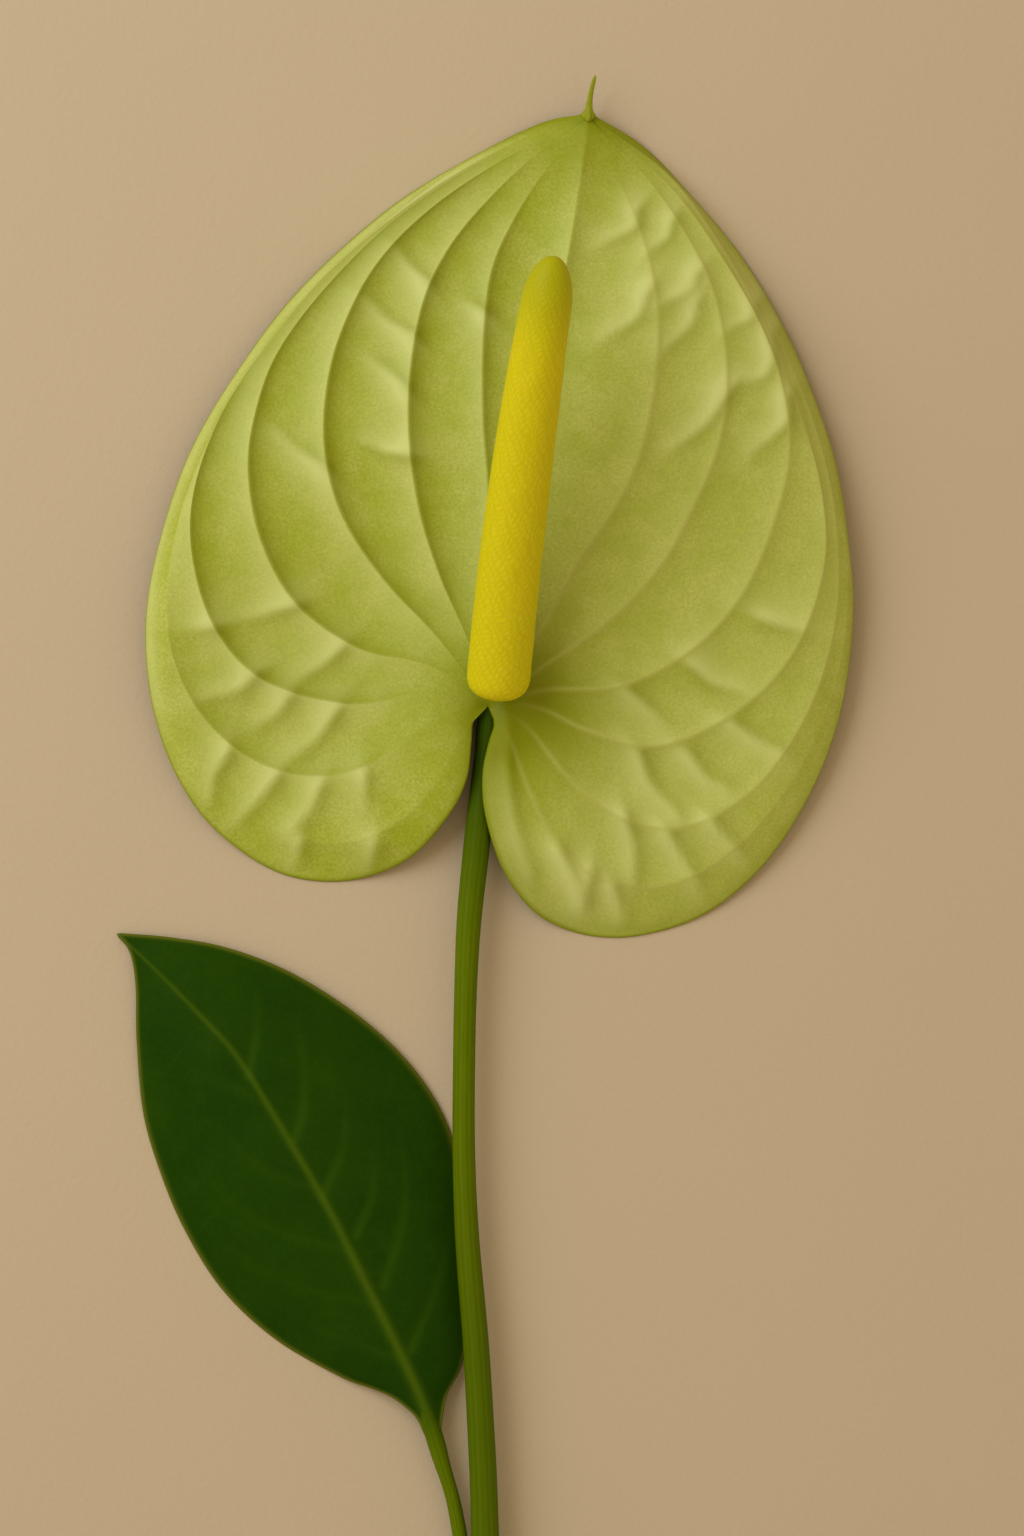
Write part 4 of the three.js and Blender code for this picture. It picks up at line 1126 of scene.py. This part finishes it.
def build_spadix(look):
    headings = [
        np.array([
            math.sin(a) * math.cos(SPADIX_RISE), math.cos(a) * math.cos(SPADIX_RISE),
            math.sin(SPADIX_RISE)])
        for a in SPADIX_HEADINGS
    ]
    start = np.array(SPADIX_START, float)
    bend = start + headings[0] * SPADIX_LENGTH / 2
    end = bend + headings[1] * SPADIX_LENGTH / 2
    base_round = SPADIX_RADIUS * 0.8
    tip_round = SPADIX_TIP_RADIUS * 2
    even = np.linspace(0, 1, SPADIX_ROWS)
    # Steps crowd towards both ends, where it rounds over.
    share = even - SPADIX_END_CROWDING * np.sin(2 * math.pi * even) / (2 * math.pi)
    t = share[:, None]
    path = start * (1 - t) ** 2 + 2 * bend * t * (1 - t) + end * t**2
    distance = share * SPADIX_LENGTH
    body = SPADIX_RADIUS + (SPADIX_TIP_RADIUS - SPADIX_RADIUS) * share**SPADIX_TAPER
    from_base = np.clip(distance / base_round, 0, 1)
    rounding = (1 - (1 - from_base) ** SPADIX_BASE_FULLNESS) ** (1 / SPADIX_BASE_FULLNESS)
    rounding *= np.sqrt(1 - (1 - np.clip((SPADIX_LENGTH - distance) / tip_round, 0, 1)) ** 2)
    turn = np.arange(SPADIX_SIDES) / SPADIX_SIDES
    # Flowers stand in two families of spirals. The swells fade out where the turn closes.
    seam = np.minimum(1, 12 * np.minimum(turn, 1 - turn))[None, :]
    shift = 0.4 * skin_waves(turn, distance, SPADIX_GIRTH, 4, RNG_SEED + 4) * seam
    climb = distance[:, None] / SPIRAL_PITCH
    first = SPADIX_SPIRALS[0] * turn[None, :] + climb + shift
    second = SPADIX_SPIRALS[1] * turn[None, :] - climb * SECOND_SPIRAL_CLIMB + shift * 1.5
    inside = np.minimum(1 - np.abs((first % 1) * 2 - 1), 1 - np.abs((second % 1) * 2 - 1))
    cell = ease(0.0, 0.7, inside)
    uneven = skin_waves(turn, distance, SPADIX_GIRTH, 6, RNG_SEED + 3) * seam
    relief = look.flower_relief * MM * (cell - 0.5) + SPADIX_UNEVENNESS * uneven
    radii = (body * rounding)[:, None] + relief * rounding[:, None]
    points, faces = skin(tube(path, radii))
    green = 0.75 * ease(SPADIX_LENGTH - GREEN_TIP_LENGTH, SPADIX_LENGTH, distance)
    values = {
        "tip": np.repeat(green, SPADIX_SIDES),
        "groove": (0.2 * (1 - cell)).ravel(),
    }
    # The short stipe that it grows on.
    shares = np.linspace(0, 1, STIPE_ROWS)
    stipe_radii = np.interp(shares, [0, 0.5, 1], STIPE_RADII)
    stipe_radii[[0, -1]] = 0
    stipe_points, stipe_faces = skin(
        tube(spline(STIPE_ROUTE, shares), stipe_radii[:, None] * np.ones((1, STIPE_SIDES))))
    faces = np.concatenate([faces, stipe_faces + len(points)])
    points = np.concatenate([points, stipe_points])
    values["tip"] = np.concatenate([values["tip"], np.full(len(stipe_points), 0.9)])
    values["groove"] = np.concatenate([values["groove"], np.zeros(len(stipe_points))])
    made = piece("spadix_flowers", points, faces, values, spadix_material(look))
    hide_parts("spadix")


# ---- The leaf ----------------------------------------------------------------------------------


def build_leaf(look):
    shares = np.linspace(0, 1, LEAF_ROWS)
    middle = by_length(LEAF_MIDRIB, shares)
    left = by_length(LEAF_LEFT, shares)
    right = by_length(LEAF_RIGHT, shares)
    step = np.arange(-LEAF_HALF_COLUMNS, LEAF_HALF_COLUMNS + 1) / LEAF_HALF_COLUMNS
    step = np.sign(step) * np.abs(step) ** LEAF_COLUMN_CROWDING
    out = np.abs(step)[None, :, None]
    margin = np.where(step[None, :, None] < 0, left[:, None], right[:, None])
    grid = middle[:, None] * (1 - out) + margin * out
    share = np.abs(step)[None, :] ** LEAF_ARCH
    grid[..., 2] = middle[:, None, 2] * (1 - share) + margin[..., 2] * share
    grid += LEAF_BASE
    flat = grid.reshape(-1, 3)
    shape = grid.shape[:2]
    spine = by_length(LEAF_MIDRIB, np.linspace(0, 1, 700)) + LEAF_BASE
    distance, along = nearest(flat, spine)
    tall = LEAF_RIB_HEIGHT * (1 - along) + LEAF_RIB_TIP_HEIGHT
    wide = LEAF_RIB_WIDTH - LEAF_RIB_NARROWING * along
    fold = LEAF_FOLD_DEPTH * np.exp(-distance / LEAF_FOLD_REACH)
    relief = tall * fall_off(distance, wide) - fold
    midrib = fall_off(distance, wide * 0.75) * (0.95 - 0.5 * along)
    vein = np.zeros(len(flat))
    for veins, strength in ((LEAF_RIGHT_VEINS, 1.0), (LEAF_LEFT_VEINS, 0.4)):
        for points in veins:
            fine = by_length(points, np.linspace(0, 1, 160))
            gap, run = nearest(flat, fine)
            fade = strength * (1 - 0.9 * run)
            sunk = np.exp(-np.sqrt(gap**2 + 0.09) / LEAF_VEIN_REACH)
            relief -= look.vein_depth * MM * fade * sunk
            vein = np.maximum(vein, 0.6 * fade * fall_off(gap, LEAF_VEIN_LINE))
    relief += LEAF_SWELL * waves(flat, 14, RNG_SEED + 5)
    halves = LEAF_THICKNESS / 2 + (LEAF_RIM - LEAF_THICKNESS) / 2 * np.abs(step) ** 6
    halves = np.tile(halves, (LEAF_ROWS, 1))
    taper = np.sqrt(np.clip(1 - np.abs(2 * shares - 1) ** 30, 0.0, 1))[:, None]
    halves = halves * np.maximum(taper, 0.02)
    edge_fade = (1 - np.abs(step)[None, :] ** 8) * ease(0, 0.03, shares)[:, None]
    edge_fade = edge_fade * ease(0, 0.04, 1 - shares)[:, None]
    grid[..., 2] += relief.reshape(shape) * edge_fade
    grid[..., 2] = np.maximum(grid[..., 2], halves)
    # The midrib stands out below the blade too.
    rings = sheet_rings(grid, halves, LEAF_RIM / 2)
    columns_count = shape[1]
    under = rings[:, columns_count + 1:-1, 2]
    keel = (LEAF_KEEL * (1 - along) * fall_off(distance, 1.2)).reshape(shape)[:, ::-1]
    rings[:, columns_count + 1:-1, 2] = np.maximum(
        under - keel * ease(0, 0.05, shares)[:, None], 0)
    rings[0] = rings[0].mean(axis=0)
    rings[-1] = rings[-1].mean(axis=0)
    points, faces = skin(rings)
    edge_gap = np.minimum(plan_gap(grid, grid[:, :1]), plan_gap(grid, grid[:, -1:]))
    values = {
        "midrib": both_faces(midrib.reshape(shape)),
        "vein": both_faces(vein.reshape(shape)),
        "rim": both_faces(0.75 * fall_off(edge_gap, 0.45), 0.9),
        "back": under_side(shape, 0.85),
    }
    made = piece("leaf_blade_sheet", points, faces, values, leaf_material(look))
    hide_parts("leaf_blade")


# ---- The stalks --------------------------------------------------------------------------------


def build_stalk(part, route, radii, look, rows_count, sides, ribs, shade):
    """A ribbed stalk along a route, closed at both ends. shade gives how dark it is from its place
    along Y."""
    shares = np.linspace(0, 1, rows_count)
    path = by_length(route, shares)
    girth = spline([[i / (len(radii) - 1), r] for i, r in enumerate(radii)], shares)[:, 1]
    turn = np.arange(sides) / sides
    rng = np.random.default_rng(RNG_SEED + sides)
    profile = np.cos(2 * math.pi * ribs * turn) + 0.5 * np.cos(
        2 * math.pi * (ribs // 2 + 1) * turn + 1.3)
    wander = 1 + 0.4 * np.sin(shares * 19 + rng.uniform(0, 6))
    relief = look.rib_height * MM * 0.6 * profile[None, :] * wander[:, None]
    knots = np.sin(shares * 31 + 1)[:, None] * np.cos(2 * math.pi * turn + 0.7)[None, :]
    rings = tube(path, girth[:, None] + relief + STALK_UNEVENNESS * knots)
    rings[..., 2] = np.maximum(rings[..., 2], STALK_LOWEST)
    rings = np.concatenate([
        np.repeat(rings[:1].mean(axis=1, keepdims=True), sides, axis=1), rings,
        np.repeat(rings[-1:].mean(axis=1, keepdims=True), sides, axis=1)])
    points, faces = skin(rings)
    streak = 0.35 * (0.5 - 0.5 * profile[None, :] / 1.5) * np.ones((rows_count + 2, 1))
    values = {
        "streak": np.clip(streak, 0, 1).ravel(),
        "deep": shade(rings[..., 1]).ravel(),
    }
    name = part + "_stalk"
    material = stalk_material(name + "_ribbed_skin", look)
    made = piece(name, points, faces, values, material)
    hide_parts(part)


# ---- The main stem -----------------------------------------------------------------------------


def build_main_stem(look):
    shares = np.linspace(0, 1, MAIN_STEM_ROWS)
    places = [p[1] for p in MAIN_STEM_PROFILE]
    widths = [p[0] for p in MAIN_STEM_PROFILE]
    girth = np.interp(shares, places, widths) * MAIN_STEM_RADIUS
    # The profile's corners are rounded over six rows each way.
    rounding = 6
    kernel = fall_off(np.arange(-rounding, rounding + 1), rounding / 2)
    padded = np.pad(girth, rounding, mode="edge")
    girth = np.convolve(padded, kernel / kernel.sum(), mode="valid")
    turn = np.arange(MAIN_STEM_SIDES) / MAIN_STEM_SIDES
    along = shares * MAIN_STEM_LENGTH
    rough = skin_waves(turn, along, MAIN_STEM_GIRTH, 3.5, RNG_SEED + 8)
    scars = sum(fall_off(shares - place, SCAR_WIDTH) for place in SCAR_PLACES)
    radii = girth[:, None] + BARK_ROUGHNESS * rough - SCAR_DEPTH * scars[:, None]
    y = MAIN_STEM_TOP - MAIN_STEM_LENGTH + along
    path = np.stack([0 * y + MAIN_STEM_X, y, 0 * y + MAIN_STEM_RADIUS], axis=1)
    side = tube(path, radii)
    low_end = [path[0] + (side[0] - path[0]) * r for r in CUT_RINGS]
    high_end = [path[-1] + (side[-1] - path[-1]) * r for r in TOP_RINGS]
    rings = np.concatenate([np.array(low_end), side, np.array(high_end)])
    rings[..., 2] = np.maximum(rings[..., 2], 0)
    points, faces = skin(rings)
    cut = np.concatenate([np.ones(len(low_end)), np.zeros(len(side) + len(high_end))])
    rind = np.zeros(len(cut))
    rind[len(low_end) - 2:len(low_end)] = 0.8
    scar = np.concatenate([
        np.zeros(len(low_end)), np.clip(scars, 0, 1), np.full(len(high_end), 0.25)])
    by_ring = {"cut": cut, "rind": rind, "scar": scar}
    values = {key: np.repeat(ring, MAIN_STEM_SIDES) for key, ring in by_ring.items()}
    material = main_stem_material(look)
    made = piece("main_stem_cut_piece", points, faces, values, material)
    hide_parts("main_stem")


# ---- Operators ---------------------------------------------------------------------------------


class ANTHURIUM_OT_spathe(bpy.types.Operator):
    """Build the spathe with its veins, ridges and drip tip"""

    bl_idname = "anthurium.spathe"
    bl_label = "Spathe"

    def execute(self, context):
        build_spathe(context.scene.anthurium_spathe)
        return {"FINISHED"}


class ANTHURIUM_OT_spadix(bpy.types.Operator):
    """Build the spadix with its spirals of minute flowers"""

    bl_idname = "anthurium.spadix"
    bl_label = "Spadix"

    def execute(self, context):
        build_spadix(context.scene.anthurium_spadix)
        return {"FINISHED"}


class ANTHURIUM_OT_leaf(bpy.types.Operator):
    """Build the leaf blade with its midrib and side veins"""

    bl_idname = "anthurium.leaf"
    bl_label = "Leaf blade"

    def execute(self, context):
        build_leaf(context.scene.anthurium_leaf)
        return {"FINISHED"}


class ANTHURIUM_OT_stalks(bpy.types.Operator):
    """Build the flower stem and the leaf stalk"""

    bl_idname = "anthurium.stalks"
    bl_label = "Stalks"

    def execute(self, context):
        look = context.scene.anthurium_stalks
        # The flower stem gets painted shade under the flower, and is darker towards its cut end.
        build_stalk(
            "flower_stem", FLOWER_STEM_ROUTE, FLOWER_STEM_RADII, look, rows_count=420, sides=64,
            ribs=15, shade=lambda y: 0.12 + 0.76 * ease(-45, -6, y) + 0.26 * ease(-70, -120, y))
        build_stalk(
            "leaf_stalk", LEAF_STALK_ROUTE, LEAF_STALK_RADII, look, rows_count=160, sides=48,
            ribs=11, shade=lambda y: 0.15 + 0.62 * ease(-137, -126, y))
        return {"FINISHED"}


class ANTHURIUM_OT_main_stem(bpy.types.Operator):
    """Build the cut piece of main stem"""

    bl_idname = "anthurium.main_stem"
    bl_label = "Main stem"

    def execute(self, context):
        build_main_stem(context.scene.anthurium_main_stem)
        return {"FINISHED"}


FLOOR_REACH = 6
FLOOR_POINTS = 25
FLOOR_DROP = 0.00005
KEY_OFFSET = Vector((-0.55, 0.36, 0.62))
KEY_SIZE = 0.7
AIM_OFFSET = -0.02  # the light's aim from the node, along Y
CAMERA_OFFSET = (0.00432, -0.01116)


class ANTHURIUM_OT_stage(bpy.types.Operator):
    """Build the floor, the soft studio light and the camera above it"""

    bl_idname = "anthurium.stage"
    bl_label = "Stage"

    def execute(self, context):
        scene = context.scene
        look = scene.anthurium_stage
        steps = np.linspace(-FLOOR_REACH, FLOOR_REACH, FLOOR_POINTS)
        grid = np.array([[x, y, -FLOOR_DROP] for y in steps for x in steps])
        here = np.arange(FLOOR_POINTS**2).reshape(FLOOR_POINTS, FLOOR_POINTS)
        faces = np.stack([here[:-1, :-1], here[:-1, 1:], here[1:, 1:], here[1:, :-1]], axis=-1)
        mesh = bpy.data.meshes.new("floor")
        mesh.from_pydata(grid.tolist(), [], faces.reshape(-1, 4).tolist())
        mesh.materials.append(floor_material(look))
        floor = bpy.data.objects.new("floor", mesh)
        scene.collection.objects.link(floor)

        world = bpy.data.worlds.new("studio")
        world.use_nodes = True
        world.node_tree.nodes.clear()
        sky = node(world.node_tree, "ShaderNodeBackground", {
            "Color": look.fill_colour, "Strength": look.fill_strength})
        node(world.node_tree, "ShaderNodeOutputWorld", {"Surface": sky.outputs["Background"]})
        scene.world = world

        middle = Vector((NODE[0], NODE[1] + AIM_OFFSET, 0))
        key = bpy.data.lights.new("key", "AREA")
        key.shape = "RECTANGLE"
        key.size = KEY_SIZE
        key.size_y = KEY_SIZE
        key.energy = look.key_power
        key.color = look.key_colour[:3]
        lamp = bpy.data.objects.new("key", key)
        lamp.location = middle + KEY_OFFSET
        lamp.rotation_euler = (middle - lamp.location).to_track_quat("-Z", "Y").to_euler()
        scene.collection.objects.link(lamp)

        lens = bpy.data.cameras.new("camera")
        lens.sensor_fit = "AUTO"
        lens.sensor_width = 36
        lens.lens = 193.75
        lens.clip_end = 50
        camera = bpy.data.objects.new("camera", lens)
        camera.location = (
            NODE[0] + CAMERA_OFFSET[0], NODE[1] + CAMERA_OFFSET[1], look.camera_height)
        scene.collection.objects.link(camera)
        scene.camera = camera
        scene.view_settings.view_transform = "Standard"
        return {"FINISHED"}


class ANTHURIUM_PT_panel(bpy.types.Panel):
    """Lists the pieces and the stage in the sidebar"""

    bl_idname = "ANTHURIUM_PT_panel"
    bl_label = "Cut Anthurium"
    bl_space_type = "VIEW_3D"
    bl_region_type = "UI"
    bl_category = "Anthurium"

    def draw(self, context):
        scene = context.scene
        for operator, settings in PIECES:
            box = self.layout.box()
            box.operator(operator)
            group = getattr(scene, settings)
            for key in group.__annotations__:
                box.prop(group, key)


PIECES = [
    ("anthurium.spathe", "anthurium_spathe"),
    ("anthurium.spadix", "anthurium_spadix"),
    ("anthurium.leaf", "anthurium_leaf"),
    ("anthurium.stalks", "anthurium_stalks"),
    ("anthurium.main_stem", "anthurium_main_stem"),
    ("anthurium.stage", "anthurium_stage"),
]
SETTINGS = {
    "anthurium_spathe": SpatheSettings,
    "anthurium_spadix": SpadixSettings,
    "anthurium_leaf": LeafSettings,
    "anthurium_stalks": StalkSettings,
    "anthurium_main_stem": MainStemSettings,
    "anthurium_stage": StageSettings,
}
CLASSES = [
    *SETTINGS.values(), ANTHURIUM_OT_spathe, ANTHURIUM_OT_spadix, ANTHURIUM_OT_leaf,
    ANTHURIUM_OT_stalks, ANTHURIUM_OT_main_stem, ANTHURIUM_OT_stage, ANTHURIUM_PT_panel,
]


def register():
    for item in CLASSES:
        bpy.utils.register_class(item)
    for name, group in SETTINGS.items():
        setattr(bpy.types.Scene, name, PointerProperty(type=group))


def unregister():
    for name in SETTINGS:
        delattr(bpy.types.Scene, name)
    for item in reversed(CLASSES):
        bpy.utils.unregister_class(item)


def main():
    register()
    bpy.ops.anthurium.stage()
    bpy.ops.anthurium.spathe()
    bpy.ops.anthurium.spadix()
    bpy.ops.anthurium.leaf()
    bpy.ops.anthurium.stalks()
    bpy.ops.anthurium.main_stem()


if __name__ == "__main__":
    main()
